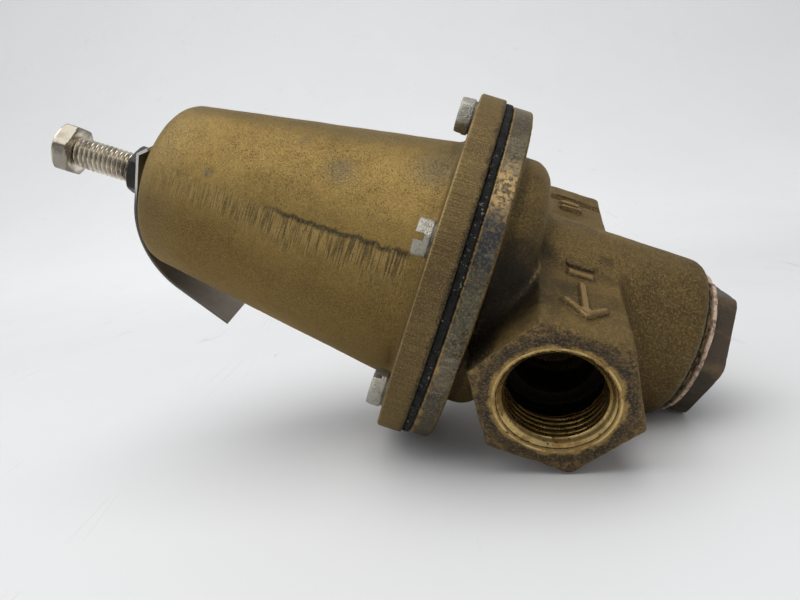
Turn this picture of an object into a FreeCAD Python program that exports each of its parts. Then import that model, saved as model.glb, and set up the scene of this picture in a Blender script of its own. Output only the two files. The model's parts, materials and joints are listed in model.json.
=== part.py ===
"""Direct-acting water pressure reducing valve, in millimetres.

The valve stands on its bottom plug with its axis along +Z: the origin is the centre of the
plug's outer face, the adjusting bolt points up and the two pipe ports lie along X, inlet at
-X and outlet at +X.
"""
import FreeCAD, Part
import Sketcher
import math
import os

OUTPUT = "parts"

# Driving dimensions. Heights are measured up from the plug's outer face.
SIZES = {
    # pipe ports
    "port_height": 47.1,
    "port_reach": 52.4,
    "port_flats": 39.4,
    "port_bore_radius": 12.2,
    "port_mouth_radius": 14.8,
    "port_thread_length": 16.0,
    "port_passage_radius": 10.5,
    "port_passage_inner_end": 24.0,
    # valve body
    "body_end": 7.4,
    "body_spigot_radius": 21.0,
    "body_spigot_height": 2.2,
    "barrel_end_radius": 23.7,
    "barrel_foot_radius": 24.8,
    "barrel_foot_height": 11.6,
    "barrel_radius": 25.5,
    "barrel_round": 6.0,
    "bowl_floor": 59.4,
    "bowl_radius": 38.8,
    "bowl_round": 7.0,
    "body_flange_radius": 51.0,
    "body_flange_low": 71.1,
    "body_flange_top": 77.0,
    "flange_edge_round": 0.7,
    "chamber_radius": 17.0,
    "web_low": 42.0,
    "web_top": 48.0,
    "seat_hole_radius": 10.5,
    "throat_radius": 13.0,
    "cavity_floor": 64.0,
    "cavity_radius": 34.0,
    "slant_radius": 8.5,
    "slant_length": 27.0,
    "slant_reach": 30.0,
    "inlet_slant_height": 43.4,
    "outlet_slant_height": 48.0,
    # diaphragm and spring cage
    "diaphragm_radius": 51.6,
    "diaphragm_thickness": 2.2,
    "cage_flange_radius": 52.1,
    "cage_flange_thickness": 7.4,
    "cage_foot_radius": 37.7,
    "cage_foot_round": 2.4,
    "cage_shoulder_radius": 24.6,
    "cage_shoulder_height": 171.4,
    "cage_shoulder_round": 7.6,
    "cage_crown_height": 173.3,
    "cage_boss_radius": 8.2,
    "cage_boss_height": 176.7,
    "cage_ceiling_radius": 21.9,
    "cage_ceiling_height": 164.0,
    "cage_thread_radius": 4.8,
    # flange screws
    "screw_circle_radius": 45.5,
    "screw_radius": 3.15,
    "screw_hole_radius": 3.2,
    "screw_clearance_radius": 3.4,
    "screw_length": 14.3,
    "screw_head_radius": 5.5,
    "screw_head_height": 3.9,
    "screw_collar_radius": 4.6,
    "screw_collar_height": 0.7,
    "screw_slot_width": 1.8,
    "screw_slot_depth": 2.4,
    # adjusting bolt, lock nut and tag
    "bolt_radius": 4.76,
    "bolt_tip": 152.6,
    "bolt_tip_bevel": 1.2,
    "bolt_head_low": 203.1,
    "bolt_head_height": 5.2,
    "bolt_head_corner": 8.25,
    "nut_low": 177.6,
    "nut_height": 6.0,
    "nut_corner": 8.25,
    "nut_hole_radius": 4.8,
    "tag_width": 24.0,
    "tag_thickness": 0.75,
    "tag_top": 177.55,
    "tag_front": 10.5,
    "tag_back": 6.0,
    "tag_bend_radius": 26.5,
    "tag_bend_angle": 67.3,
    "tag_tail": 19.2,
    "tag_lip": 4.0,
    "tag_lip_angle": 50.0,
    "tag_hole_radius": 5.0,
    # range spring and its seats
    "spring_mean_radius": 18.0,
    "spring_wire_radius": 2.2,
    "spring_turns": 7.0,
    "plate_radius": 27.0,
    "plate_thickness": 4.0,
    "spring_boss_radius": 14.8,
    "plate_boss_height": 2.8,
    "button_low": 146.0,
    "button_radius": 21.0,
    "button_thickness": 3.5,
    "button_boss_depth": 3.0,
    "button_nose_radius": 8.0,
    "button_nose_top": 152.5,
    "button_dimple_radius": 3.4,
    "button_dimple_depth": 1.0,
    # stem and disc
    "stem_radius": 4.0,
    "stem_tail_radius": 3.0,
    "stem_tail_end": 15.0,
    "stem_shoulder": 38.0,
    "stem_collar_radius": 7.0,
    "stem_collar_height": 3.0,
    "stem_top": 95.0,
    "stem_fit": 0.03,
    "washer_radius": 24.0,
    "washer_thickness": 3.4,
    "stem_washer_radius": 8.0,
    "stem_washer_thickness": 1.2,
    "stem_nut_corner": 6.9,
    "stem_nut_height": 5.2,
    "seat_bore_radius": 8.0,
    "seat_lip_radius": 9.6,
    "seat_lip_low": 40.5,
    "seat_flange_radius": 12.6,
    "seat_flange_height": 2.5,
    "disc_radius": 10.0,
    "disc_low": 34.0,
    "disc_thickness": 3.0,
    "disc_washer_radius": 6.5,
    "holder_radius": 11.8,
    "holder_low": 31.0,
    "holder_height": 4.6,
    "disc_nut_corner": 5.2,
    "disc_nut_height": 4.0,
    "closing_spring_radius": 7.6,
    "closing_spring_wire": 0.6,
    "closing_spring_turns": 6.0,
    # bottom plug, gasket and strainer
    "plug_hex_corner": 21.4,
    "plug_hex_height": 6.2,
    "plug_shank_radius": 16.97,
    "plug_shank_top": 12.0,
    "plug_boss_radius": 5.5,
    "plug_boss_top": 22.0,
    "plug_guide_radius": 3.07,
    "plug_guide_low": 8.0,
    "gasket_radius": 21.9,
    "screen_radius": 15.0,
    "screen_inner_radius": 14.4,
    "screen_fit": 0.05,
}

SCREW_COUNT = 6
SCREW_FIRST_ANGLE = 32.3
SCREW_SLOT_ANGLES = (24.0, 110.0, 48.0, 160.0, 95.0, 75.0)
BOLT_HEAD_ANGLE = 27.0
LOCK_NUT_ANGLE = 39.0
PLUG_ANGLE = 13.0
SLANT_ANGLE = 28.6

doc = FreeCAD.newDocument("pressure_reducing_valve")


class Measure:
    """A length that keeps the spreadsheet expression it comes from."""

    def __init__(self, value, text):
        self.value = value
        self.text = text

    def combine(self, other, sign, result):
        return Measure(result, "(%s %s %s)" % (self.text, sign, other.text))

    def __add__(self, other):
        other = measure(other)
        return self.combine(other, "+", self.value + other.value)

    def __sub__(self, other):
        other = measure(other)
        return self.combine(other, "-", self.value - other.value)

    def __mul__(self, other):
        other = measure(other)
        return self.combine(other, "*", self.value * other.value)

    def __truediv__(self, other):
        other = measure(other)
        return self.combine(other, "/", self.value / other.value)


def measure(item):
    """A Measure from a spreadsheet alias, a plain number or a Measure."""
    if isinstance(item, Measure):
        return item
    if isinstance(item, str):
        return Measure(SIZES[item], "Sizes." + item)
    return Measure(float(item), repr(float(item)))


def make_sheet():
    """The spreadsheet that every other object reads."""
    sheet = doc.addObject("Spreadsheet::Sheet", "Sizes")
    for row, (name, number) in enumerate(SIZES.items(), start=1):
        sheet.set("A%d" % row, name)
        sheet.set("B%d" % row, str(number))
        sheet.setAlias("B%d" % row, name)
    doc.recompute()


# ---------------------------------------------------------------- helpers

def new_body(label):
    """An empty PartDesign body with the sub-part's label."""
    body = doc.addObject("PartDesign::Body", label)
    body.Label = label
    return body


def plane(body, role):
    """One of the body's own origin planes."""
    return [item for item in body.Origin.OriginFeatures if item.Role == role][0]


def new_sketch(body, name, role="XZ_Plane"):
    """An empty sketch on an origin plane of the body."""
    sketch = body.newObject("Sketcher::SketchObject", body.Label + "_" + name)
    sketch.AttachmentSupport = [(plane(body, role), "")]
    sketch.MapMode = "FlatFace"
    return sketch


def pin_point(sketch, line, end, point):
    """Ties one end of a line to two measures, counted from the sketch's origin."""
    for kind, axis, item in (("DistanceX", -2, point[0]), ("DistanceY", -1, point[1])):
        if item.value == 0.0:
            sketch.addConstraint(Sketcher.Constraint("PointOnObject", line, end, axis))
            continue
        index = sketch.addConstraint(Sketcher.Constraint(kind, -1, 1, line, end, item.value))
        sketch.setExpression("Constraints[%d]" % index, item.text)


def outline(sketch, points):
    """A closed outline of straight sides through points given as pairs of measures."""
    corners = [(measure(across), measure(up)) for across, up in points]
    places = [FreeCAD.Vector(across.value, up.value, 0) for across, up in corners]
    count = len(places)
    for index in range(count):
        sketch.addGeometry(Part.LineSegment(places[index], places[(index + 1) % count]), False)
    for index in range(count):
        sketch.addConstraint(Sketcher.Constraint("Coincident", index, 2, (index + 1) % count, 1))
    for index in range(count):
        pin_point(sketch, index, 1, corners[index])


def circle(sketch, across, up, radius):
    """A circle with its centre and radius bound to measures."""
    across, up, radius = measure(across), measure(up), measure(radius)
    centre = FreeCAD.Vector(across.value, up.value, 0)
    index = sketch.addGeometry(Part.Circle(centre, FreeCAD.Vector(0, 0, 1), radius.value), False)
    pin_point(sketch, index, 3, (across, up))
    size = sketch.addConstraint(Sketcher.Constraint("Radius", index, radius.value))
    sketch.setExpression("Constraints[%d]" % size, radius.text)


def hexagon(sketch, up, corner, turn):
    """A regular hexagon about (0, up); turn is the first corner's angle in degrees."""
    up, corner = measure(up), measure(corner)
    centre = FreeCAD.Vector(0, up.value, 0)
    spots = []
    for step in range(6):
        angle = math.radians(turn + 60.0 * step)
        spots.append(centre + FreeCAD.Vector(math.cos(angle), math.sin(angle), 0) * corner.value)
    for step in range(6):
        sketch.addGeometry(Part.LineSegment(spots[step], spots[(step + 1) % 6]), False)
    rim = sketch.addGeometry(Part.Circle(centre, FreeCAD.Vector(0, 0, 1), corner.value), True)
    for step in range(6):
        sketch.addConstraint(Sketcher.Constraint("Coincident", step, 2, (step + 1) % 6, 1))
        sketch.addConstraint(Sketcher.Constraint("PointOnObject", step, 1, rim))
    for step in range(1, 6):
        sketch.addConstraint(Sketcher.Constraint("Equal", 0, step))
    pin_point(sketch, rim, 3, (measure(0), up))
    size = sketch.addConstraint(Sketcher.Constraint("Radius", rim, corner.value))
    sketch.setExpression("Constraints[%d]" % size, corner.text)
    spoke = sketch.addGeometry(Part.LineSegment(centre, spots[0]), True)
    sketch.addConstraint(Sketcher.Constraint("Coincident", spoke, 1, rim, 3))
    sketch.addConstraint(Sketcher.Constraint("Coincident", spoke, 2, 0, 1))
    sketch.addConstraint(Sketcher.Constraint("Angle", -1, 1, spoke, 1, math.radians(turn)))


def turned(body, name, points, kind="PartDesign::Revolution"):
    """Turns an outline of (radius, height) points about the Z axis."""
    sketch = new_sketch(body, name + "_outline")
    outline(sketch, points)
    feature = body.newObject(kind, body.Label + "_" + name)
    feature.Profile = sketch
    feature.ReferenceAxis = (sketch, ["V_Axis"])
    feature.Angle = 360.0
    return feature


def padded(body, name, sketch, length):
    """A pad along the sketch's normal."""
    pad = body.newObject("PartDesign::Pad", body.Label + "_" + name)
    pad.Profile = sketch
    pad.setExpression("Length", measure(length).text)
    return pad


def round_edges(body, name, base, radius, picks):
    """Fillets the circular edges at the given (radius, height) pairs of measures."""
    doc.recompute()
    names = []
    for across, up in picks:
        across, up = measure(across).value, measure(up).value
        for number, edge in enumerate(base.Shape.Edges, start=1):
            curve = edge.Curve
            if not isinstance(curve, Part.Circle):
                continue
            if abs(curve.Radius - across) < 0.01 and abs(curve.Center.z - up) < 0.01:
                names.append("Edge%d" % number)
                break
    if len(names) != len(picks):
        raise RuntimeError("an edge to round is missing on " + body.Label)
    fillet = body.newObject("PartDesign::Fillet", body.Label + "_" + name)
    fillet.Base = (base, names)
    fillet.setExpression("Radius", measure(radius).text)
    return fillet


def screw_holes(body, name, low, depth, radius):
    """Six holes on the screw circle, cut upwards from the height low."""
    drill = body.newObject("PartDesign::SubtractiveCylinder", body.Label + "_" + name)
    drill.setExpression("Radius", measure(radius).text)
    drill.setExpression("Height", measure(depth).text)
    drill.AttachmentSupport = [(plane(body, "XY_Plane"), "")]
    drill.MapMode = "FlatFace"
    angle = SCREW_FIRST_ANGLE
    reach = measure("screw_circle_radius")
    drill.setExpression("AttachmentOffset.Base.x", "%s * cos(%s deg)" % (reach.text, angle))
    drill.setExpression("AttachmentOffset.Base.y", "%s * sin(%s deg)" % (reach.text, angle))
    drill.setExpression("AttachmentOffset.Base.z", measure(low).text)
    doc.recompute()
    pattern = body.newObject("PartDesign::PolarPattern", body.Label + "_" + name + "_ring")
    pattern.Originals = [drill]
    pattern.Axis = ([item for item in body.Origin.OriginFeatures if item.Role == "Z_Axis"][0], [""])
    pattern.Angle = 360.0
    pattern.Occurrences = SCREW_COUNT
    body.Tip = pattern
    return pattern


def washer(label, hole, rim, low, thickness):
    """A flat ring about the valve's axis."""
    body = new_body(label)
    low, top = measure(low), measure(low) + thickness
    turned(body, "ring", [(hole, low), (rim, low), (rim, top), (hole, top)])
    return body


def coil(label, mean_radius, wire_radius, low, top, turns):
    """A helical spring between two seats, wound with round wire."""
    body = new_body(label)
    mean_radius, wire_radius = measure(mean_radius), measure(wire_radius)
    low, top, turns = measure(low), measure(top), measure(turns)
    sketch = new_sketch(body, "wire")
    circle(sketch, mean_radius, low + wire_radius, wire_radius)
    helix = body.newObject("PartDesign::AdditiveHelix", label + "_helix")
    helix.Profile = sketch
    helix.ReferenceAxis = (sketch, ["V_Axis"])
    helix.Mode = "height-turns-angle"
    helix.setExpression("Height", (top - low - wire_radius * 2.0).text)
    helix.setExpression("Turns", turns.text)
    helix.Angle = 0.0
    return body


# ---------------------------------------------------------------- levels shared by the pieces

def levels():
    """Heights that follow from the driving dimensions."""
    level = {}
    level["cage_flange_low"] = measure("body_flange_top") + "diaphragm_thickness"
    level["cage_flange_top"] = level["cage_flange_low"] + "cage_flange_thickness"
    level["plate_top"] = level["cage_flange_low"] + "plate_thickness"
    level["plate_boss_top"] = level["plate_top"] + "plate_boss_height"
    level["stem_nut_low"] = level["plate_boss_top"] + "stem_washer_thickness"
    level["washer_low"] = measure("body_flange_top") - "washer_thickness"
    level["disc_top"] = measure("disc_low") + "disc_thickness"
    level["seat_top"] = measure("web_top") + "seat_flange_height"
    level["screw_head_low"] = level["cage_flange_top"] + "screw_collar_height"
    return level


LEVEL = levels()


# ---------------------------------------------------------------- pressure casing

def make_valve_body():
    """Bronze casting: barrel, diaphragm bowl and flange, and two hexagonal pipe ports."""
    body = new_body("valve_body")
    shoulder = measure("body_end") + "body_spigot_height"
    shell = turned(body, "shell", [
        (0, "body_end"),
        ("body_spigot_radius", "body_end"),
        ("body_spigot_radius", shoulder),
        ("barrel_end_radius", shoulder),
        ("barrel_foot_radius", "barrel_foot_height"),
        ("barrel_radius", "bowl_floor"),
        ("bowl_radius", "bowl_floor"),
        ("bowl_radius", "body_flange_low"),
        ("body_flange_radius", "body_flange_low"),
        ("body_flange_radius", "body_flange_top"),
        (0, "body_flange_top"),
    ])
    shoulders = round_edges(body, "barrel_shoulder", shell, "barrel_round",
                            [("barrel_foot_radius", "barrel_foot_height")])
    bowl = round_edges(body, "bowl_shoulder", shoulders, "bowl_round",
                       [("bowl_radius", "bowl_floor")])
    round_edges(body, "flange_edges", bowl, "flange_edge_round",
                [("body_flange_radius", "body_flange_low")])

    bar = new_sketch(body, "port_hexagon", "YZ_Plane")
    hexagon(bar, "port_height", measure("port_flats") / math.sqrt(3.0), 90.0)
    ports = padded(body, "port_bar", bar, measure("port_reach") * 2.0)
    ports.Midplane = True

    turned(body, "lower_chamber", [
        (0, "body_end"),
        ("chamber_radius", "body_end"),
        ("chamber_radius", "web_low"),
        ("seat_hole_radius", "web_low"),
        ("seat_hole_radius", "web_top"),
        ("throat_radius", "web_top"),
        ("throat_radius", "cavity_floor"),
        ("cavity_radius", "cavity_floor"),
        ("cavity_radius", "body_flange_top"),
        (0, "body_flange_top"),
    ], "PartDesign::Groove")
    for side, turn in (("outlet", 90.0), ("inlet", -90.0)):
        port_cut(body, side + "_passage", turn, "port_passage_radius", "port_passage_inner_end")
        thread_start = measure("port_reach") - "port_thread_length" - mouth_depth()
        port_cut(body, side + "_thread", turn, "port_bore_radius", thread_start)
        port_mouth(body, side, turn)
        slanted_passage(body, side)
    low = measure("body_flange_low") - 1.0
    screw_holes(body, "tapped_hole", low, measure("body_flange_top") - low + 1.0,
                "screw_hole_radius")
    return body


def mouth_depth():
    """Depth of the 45 degree bevel at a port's mouth."""
    return measure("port_mouth_radius") - "port_bore_radius"


def place_tool(tool, turn, start):
    """Points a cutting tool out along a port and ties its place to the sheet."""
    reach = measure(start) if turn > 0 else measure(start) * -1.0
    spin = FreeCAD.Rotation(FreeCAD.Vector(0, 1, 0), turn)
    tool.Placement = FreeCAD.Placement(FreeCAD.Vector(0, 0, 0), spin)
    tool.setExpression("Placement.Base.x", reach.text)
    tool.setExpression("Placement.Base.z", measure("port_height").text)


def port_cut(body, name, turn, radius, start):
    """A round bore from a distance off the valve's axis out through the port's face."""
    tool = body.newObject("PartDesign::SubtractiveCylinder", body.Label + "_" + name)
    tool.setExpression("Radius", measure(radius).text)
    tool.setExpression("Height", (measure("port_reach") - start + 1.0).text)
    place_tool(tool, turn, start)


def port_mouth(body, side, turn):
    """The bevel that leads a pipe into the port."""
    tool = body.newObject("PartDesign::SubtractiveCone", body.Label + "_" + side + "_mouth")
    start = measure("port_reach") - mouth_depth()
    tool.setExpression("Radius1", measure("port_bore_radius").text)
    tool.setExpression("Radius2", measure("port_mouth_radius").text)
    tool.setExpression("Height", mouth_depth().text)
    place_tool(tool, turn, start)


def slanted_passage(body, side):
    """Leads the inlet down under the web and the outlet up into the throat."""
    tool = body.newObject("PartDesign::SubtractiveCylinder", body.Label + "_" + side + "_slant")
    tool.setExpression("Radius", measure("slant_radius").text)
    tool.setExpression("Height", measure("slant_length").text)
    if side == "inlet":
        sign, turn = -1.0, 90.0 + SLANT_ANGLE
    else:
        sign, turn = 1.0, -90.0 + SLANT_ANGLE
    spin = FreeCAD.Rotation(FreeCAD.Vector(0, 1, 0), turn)
    tool.Placement = FreeCAD.Placement(FreeCAD.Vector(0, 0, 0), spin)
    tool.setExpression("Placement.Base.x", (measure("slant_reach") * sign).text)
    tool.setExpression("Placement.Base.z", measure(side + "_slant_height").text)


def make_spring_cage():
    """Bronze spring cage: flange, tapering bell and threaded boss."""
    body = new_body("spring_cage")
    low, top = LEVEL["cage_flange_low"], LEVEL["cage_flange_top"]
    shell = turned(body, "shell", [
        ("cavity_radius", low),
        ("cage_flange_radius", low),
        ("cage_flange_radius", top),
        ("cage_foot_radius", top),
        ("cage_shoulder_radius", "cage_shoulder_height"),
        ("cage_boss_radius", "cage_crown_height"),
        ("cage_boss_radius", "cage_boss_height"),
        ("cage_thread_radius", "cage_boss_height"),
        ("cage_thread_radius", "cage_ceiling_height"),
        ("cage_ceiling_radius", "cage_ceiling_height"),
    ])
    shoulder = round_edges(body, "shoulder", shell, "cage_shoulder_round",
                           [("cage_shoulder_radius", "cage_shoulder_height")])
    foot = round_edges(body, "foot", shoulder, "cage_foot_round", [("cage_foot_radius", top)])
    round_edges(body, "flange_edges", foot, "flange_edge_round",
                [("cage_flange_radius", low), ("cage_flange_radius", top)])
    screw_holes(body, "screw_hole", low - 1.0, measure("cage_flange_thickness") + 2.0,
                "screw_clearance_radius")
    return body


def make_diaphragm():
    """Rubber disc clamped between the two flanges."""
    body = washer("diaphragm", measure("stem_radius") + 0.1, "diaphragm_radius",
                  "body_flange_top", "diaphragm_thickness")
    screw_holes(body, "screw_hole", measure("body_flange_top") - 1.0,
                measure("diaphragm_thickness") + 2.0, "screw_clearance_radius")
    return body


def make_flange_screws():
    """Six slotted hexagon-head screws, separate solids of one group."""
    screws = []
    for index in range(SCREW_COUNT):
        angle = SCREW_FIRST_ANGLE + index * 360.0 / SCREW_COUNT
        screws.append(one_screw(index, angle, SCREW_SLOT_ANGLES[index]))
    group = doc.addObject("Part::Compound", "flange_screws")
    group.Label = "flange_screws"
    group.Links = screws
    return group


def one_screw(index, angle, slot_angle):
    """A shank, a bearing collar and a hexagon head with a slot across it."""
    head_low = LEVEL["screw_head_low"]
    shank_low = LEVEL["cage_flange_top"] - "screw_length"
    shank = round_bar("screw_shank%d" % index, "screw_radius", shank_low,
                      measure("screw_length") + "screw_collar_height")
    collar = round_bar("screw_collar%d" % index, "screw_collar_radius",
                       LEVEL["cage_flange_top"], "screw_collar_height")
    head = hex_bar("screw_head%d" % index, "screw_head_radius", head_low, "screw_head_height")
    slot = doc.addObject("Part::Box", "screw_slot%d" % index)
    slot.Length = SIZES["screw_head_radius"] * 3.0
    slot.setExpression("Width", measure("screw_slot_width").text)
    slot.setExpression("Height", measure("screw_slot_depth").text)
    slot_low = head_low + "screw_head_height" - "screw_slot_depth"
    slot.setExpression("Placement.Base.x", (measure("screw_head_radius") * -1.5).text)
    slot.setExpression("Placement.Base.y", (measure("screw_slot_width") * -0.5).text)
    slot.setExpression("Placement.Base.z", slot_low.text)
    blank = doc.addObject("Part::MultiFuse", "screw_blank%d" % index)
    blank.Shapes = [shank, collar, head]
    screw = doc.addObject("Part::Cut", "screw%d" % index)
    screw.Base = blank
    screw.Tool = slot
    reach = measure("screw_circle_radius")
    turn = FreeCAD.Rotation(FreeCAD.Vector(0, 0, 1), slot_angle)
    screw.Placement = FreeCAD.Placement(FreeCAD.Vector(0, 0, 0), turn)
    screw.setExpression("Placement.Base.x", "%s * cos(%s deg)" % (reach.text, angle))
    screw.setExpression("Placement.Base.y", "%s * sin(%s deg)" % (reach.text, angle))
    return screw


def round_bar(name, radius, low, height):
    """A cylinder about Z."""
    bar = doc.addObject("Part::Cylinder", name)
    bar.setExpression("Radius", measure(radius).text)
    bar.setExpression("Height", measure(height).text)
    bar.setExpression("Placement.Base.z", measure(low).text)
    return bar


def hex_bar(name, corner, low, height, turn=0.0):
    """A hexagonal prism about Z whose first corner is turned from +X."""
    bar = doc.addObject("Part::Prism", name)
    bar.Polygon = 6
    bar.setExpression("Circumradius", measure(corner).text)
    bar.setExpression("Height", measure(height).text)
    bar.Placement = FreeCAD.Placement(FreeCAD.Vector(0, 0, 0),
                                      FreeCAD.Rotation(FreeCAD.Vector(0, 0, 1), turn))
    bar.setExpression("Placement.Base.z", measure(low).text)
    return bar


def hex_nut(label, corner, low, height, hole, turn):
    """A hexagonal nut with a plain hole, its corners turned off by a cone at both faces."""
    body = new_body(label)
    sketch = new_sketch(body, "hexagon", "XY_Plane")
    hexagon(sketch, 0, corner, turn)
    corner, low, height = measure(corner), measure(low), measure(height)
    sketch.setExpression("AttachmentOffset.Base.z", low.text)
    padded(body, "blank", sketch, height)
    bevel_corners(body, "lower_bevel", corner, low, 1.0)
    bevel_corners(body, "upper_bevel", corner, low + height, -1.0)
    turned(body, "hole", [
        (0, low - 1.0),
        (hole, low - 1.0),
        (hole, low + height + 1.0),
        (0, low + height + 1.0),
    ], "PartDesign::Groove")
    return body


def bevel_corners(body, name, corner, face, inward):
    """Turns the corners of a hexagon down to its flats at one face, at 30 degrees."""
    flat = corner * math.cos(math.radians(30.0))
    outside = corner * 1.2
    run = (outside - flat) * math.tan(math.radians(30.0))
    turned(body, name, [
        (flat, face),
        (outside, face),
        (outside, face + run * inward),
    ], "PartDesign::Groove")


# ---------------------------------------------------------------- adjusting gear

def make_adjusting_bolt():
    """Hexagon-head screw that presses the spring button down."""
    body = new_body("adjusting_bolt")
    tip, head_low = measure("bolt_tip"), measure("bolt_head_low")
    turned(body, "shank", [
        (0, tip),
        (measure("bolt_radius") - "bolt_tip_bevel", tip),
        ("bolt_radius", tip + "bolt_tip_bevel"),
        ("bolt_radius", head_low + 0.5),
        (0, head_low + 0.5),
    ])
    sketch = new_sketch(body, "head_hexagon", "XY_Plane")
    hexagon(sketch, 0, "bolt_head_corner", BOLT_HEAD_ANGLE)
    sketch.setExpression("AttachmentOffset.Base.z", head_low.text)
    padded(body, "head", sketch, "bolt_head_height")
    bevel_corners(body, "head_bevel", measure("bolt_head_corner"),
                  head_low + "bolt_head_height", -1.0)
    return body


def make_lock_nut():
    """Nut that locks the adjusting bolt and clamps the tag on the boss."""
    return hex_nut("lock_nut", "nut_corner", "nut_low", "nut_height", "nut_hole_radius",
                   LOCK_NUT_ANGLE)


def make_data_tag():
    """Sheet strip under the lock nut: a short lip, a flat top, a wide bend and a tail."""
    width, sheet = SIZES["tag_width"], SIZES["tag_thickness"]
    top, bend = SIZES["tag_top"], SIZES["tag_bend_radius"]
    front, back = SIZES["tag_front"], -SIZES["tag_back"]
    turn = math.radians(SIZES["tag_bend_angle"])
    lip_turn = math.radians(SIZES["tag_lip_angle"])

    def side(inset):
        """The strip's outline at a depth below its outer surface, as an open wire."""
        radius = bend - inset
        level = top - inset
        centre_y, centre_z = back, top - bend
        knee = (centre_y - radius * math.sin(turn), centre_z + radius * math.cos(turn))
        half = (centre_y - radius * math.sin(turn / 2), centre_z + radius * math.cos(turn / 2))
        tail = (knee[0] - SIZES["tag_tail"] * math.cos(turn),
                knee[1] - SIZES["tag_tail"] * math.sin(turn))
        crease = front - inset * math.tan(lip_turn / 2)
        lip = (crease + SIZES["tag_lip"] * math.cos(lip_turn),
               level - SIZES["tag_lip"] * math.sin(lip_turn))
        spots = [FreeCAD.Vector(0, spot[0], spot[1])
                 for spot in (lip, (crease, level), (back, level), half, knee, tail)]
        edges = [Part.LineSegment(spots[0], spots[1]), Part.LineSegment(spots[1], spots[2]),
                 Part.Arc(spots[2], spots[3], spots[4]), Part.LineSegment(spots[4], spots[5])]
        return [edge.toShape() for edge in edges], spots[0], spots[-1]

    outer, outer_lip, outer_tail = side(0.0)
    inner, inner_lip, inner_tail = side(sheet)
    rim = outer + inner
    rim.append(Part.LineSegment(outer_lip, inner_lip).toShape())
    rim.append(Part.LineSegment(outer_tail, inner_tail).toShape())
    face = Part.Face(Part.Wire(Part.__sortEdges__(rim)))
    strip = face.extrude(FreeCAD.Vector(width, 0, 0))
    strip.translate(FreeCAD.Vector(-width / 2, 0, 0))
    hole = Part.makeCylinder(SIZES["tag_hole_radius"], 4.0, FreeCAD.Vector(0, 0, top - 2.0))
    tag = doc.addObject("Part::Feature", "data_tag")
    tag.Label = "data_tag"
    tag.Shape = strip.cut(hole)
    return tag


def make_spring_button():
    """Upper spring seat, with a dimple for the bolt's tip."""
    body = new_body("spring_button")
    low = measure("button_low")
    top = low + "button_thickness"
    nose = measure("button_nose_top")
    turned(body, "button", [
        (0, low - "button_boss_depth"),
        ("spring_boss_radius", low - "button_boss_depth"),
        ("spring_boss_radius", low),
        ("button_radius", low),
        ("button_radius", top),
        ("button_nose_radius", top),
        ("button_nose_radius", nose),
        (measure("button_dimple_radius") * 1.3, nose),
        ("button_dimple_radius", nose - "button_dimple_depth"),
        (0, nose - "button_dimple_depth"),
    ])
    return body


def make_pressure_plate():
    """Lower spring seat, on top of the diaphragm."""
    body = new_body("pressure_plate")
    hole = measure("stem_radius") + "stem_fit"
    turned(body, "plate", [
        (hole, LEVEL["cage_flange_low"]),
        ("plate_radius", LEVEL["cage_flange_low"]),
        ("plate_radius", LEVEL["plate_top"]),
        ("spring_boss_radius", LEVEL["plate_top"]),
        ("spring_boss_radius", LEVEL["plate_boss_top"]),
        (hole, LEVEL["plate_boss_top"]),
    ])
    return body


# ---------------------------------------------------------------- stem, disc and seat

def make_stem():
    """Stem with a collar under the diaphragm and a thin tail through the disc."""
    body = new_body("stem")
    collar_top = LEVEL["washer_low"]
    collar_low = collar_top - "stem_collar_height"
    turned(body, "stem", [
        (0, "stem_tail_end"),
        ("stem_tail_radius", "stem_tail_end"),
        ("stem_tail_radius", "stem_shoulder"),
        ("stem_radius", "stem_shoulder"),
        ("stem_radius", collar_low),
        ("stem_collar_radius", collar_low),
        ("stem_collar_radius", collar_top),
        ("stem_radius", collar_top),
        ("stem_radius", "stem_top"),
        (0, "stem_top"),
    ])
    return body


def make_disc_holder():
    """Brass cup that carries the rubber disc."""
    body = new_body("disc_holder")
    low = measure("holder_low")
    hole = measure("stem_tail_radius") + "stem_fit"
    turned(body, "cup", [
        (hole, low),
        ("holder_radius", low),
        ("holder_radius", low + "holder_height"),
        (measure("disc_radius") + "stem_fit", low + "holder_height"),
        (measure("disc_radius") + "stem_fit", "disc_low"),
        (hole, "disc_low"),
    ])
    return body


def make_seat_ring():
    """Seat screwed into the web, with its lip facing down to the disc."""
    body = new_body("seat_ring")
    thread = measure("seat_hole_radius") - "stem_fit"
    turned(body, "ring", [
        ("seat_bore_radius", "seat_lip_low"),
        ("seat_lip_radius", "seat_lip_low"),
        ("seat_lip_radius", "web_low"),
        (thread, "web_low"),
        (thread, "web_top"),
        ("seat_flange_radius", "web_top"),
        ("seat_flange_radius", LEVEL["seat_top"]),
        ("seat_bore_radius", LEVEL["seat_top"]),
    ])
    return body


# ---------------------------------------------------------------- bottom plug and strainer

def make_bottom_plug():
    """Hexagonal plug that closes the barrel and guides the stem's tail."""
    body = new_body("bottom_plug")
    sketch = new_sketch(body, "hexagon", "XY_Plane")
    hexagon(sketch, 0, "plug_hex_corner", PLUG_ANGLE)
    padded(body, "head", sketch, "plug_hex_height")
    bevel_corners(body, "head_bevel", measure("plug_hex_corner"), measure(0), 1.0)
    turned(body, "shank", [
        (0, measure("plug_hex_height") - 0.5),
        ("plug_shank_radius", measure("plug_hex_height") - 0.5),
        ("plug_shank_radius", "plug_shank_top"),
        ("plug_boss_radius", "plug_shank_top"),
        ("plug_boss_radius", "plug_boss_top"),
        (0, "plug_boss_top"),
    ])
    turned(body, "guide", [
        (0, "plug_guide_low"),
        ("plug_guide_radius", "plug_guide_low"),
        ("plug_guide_radius", measure("plug_boss_top") + 1.0),
        (0, measure("plug_boss_top") + 1.0),
    ], "PartDesign::Groove")
    return body


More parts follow.
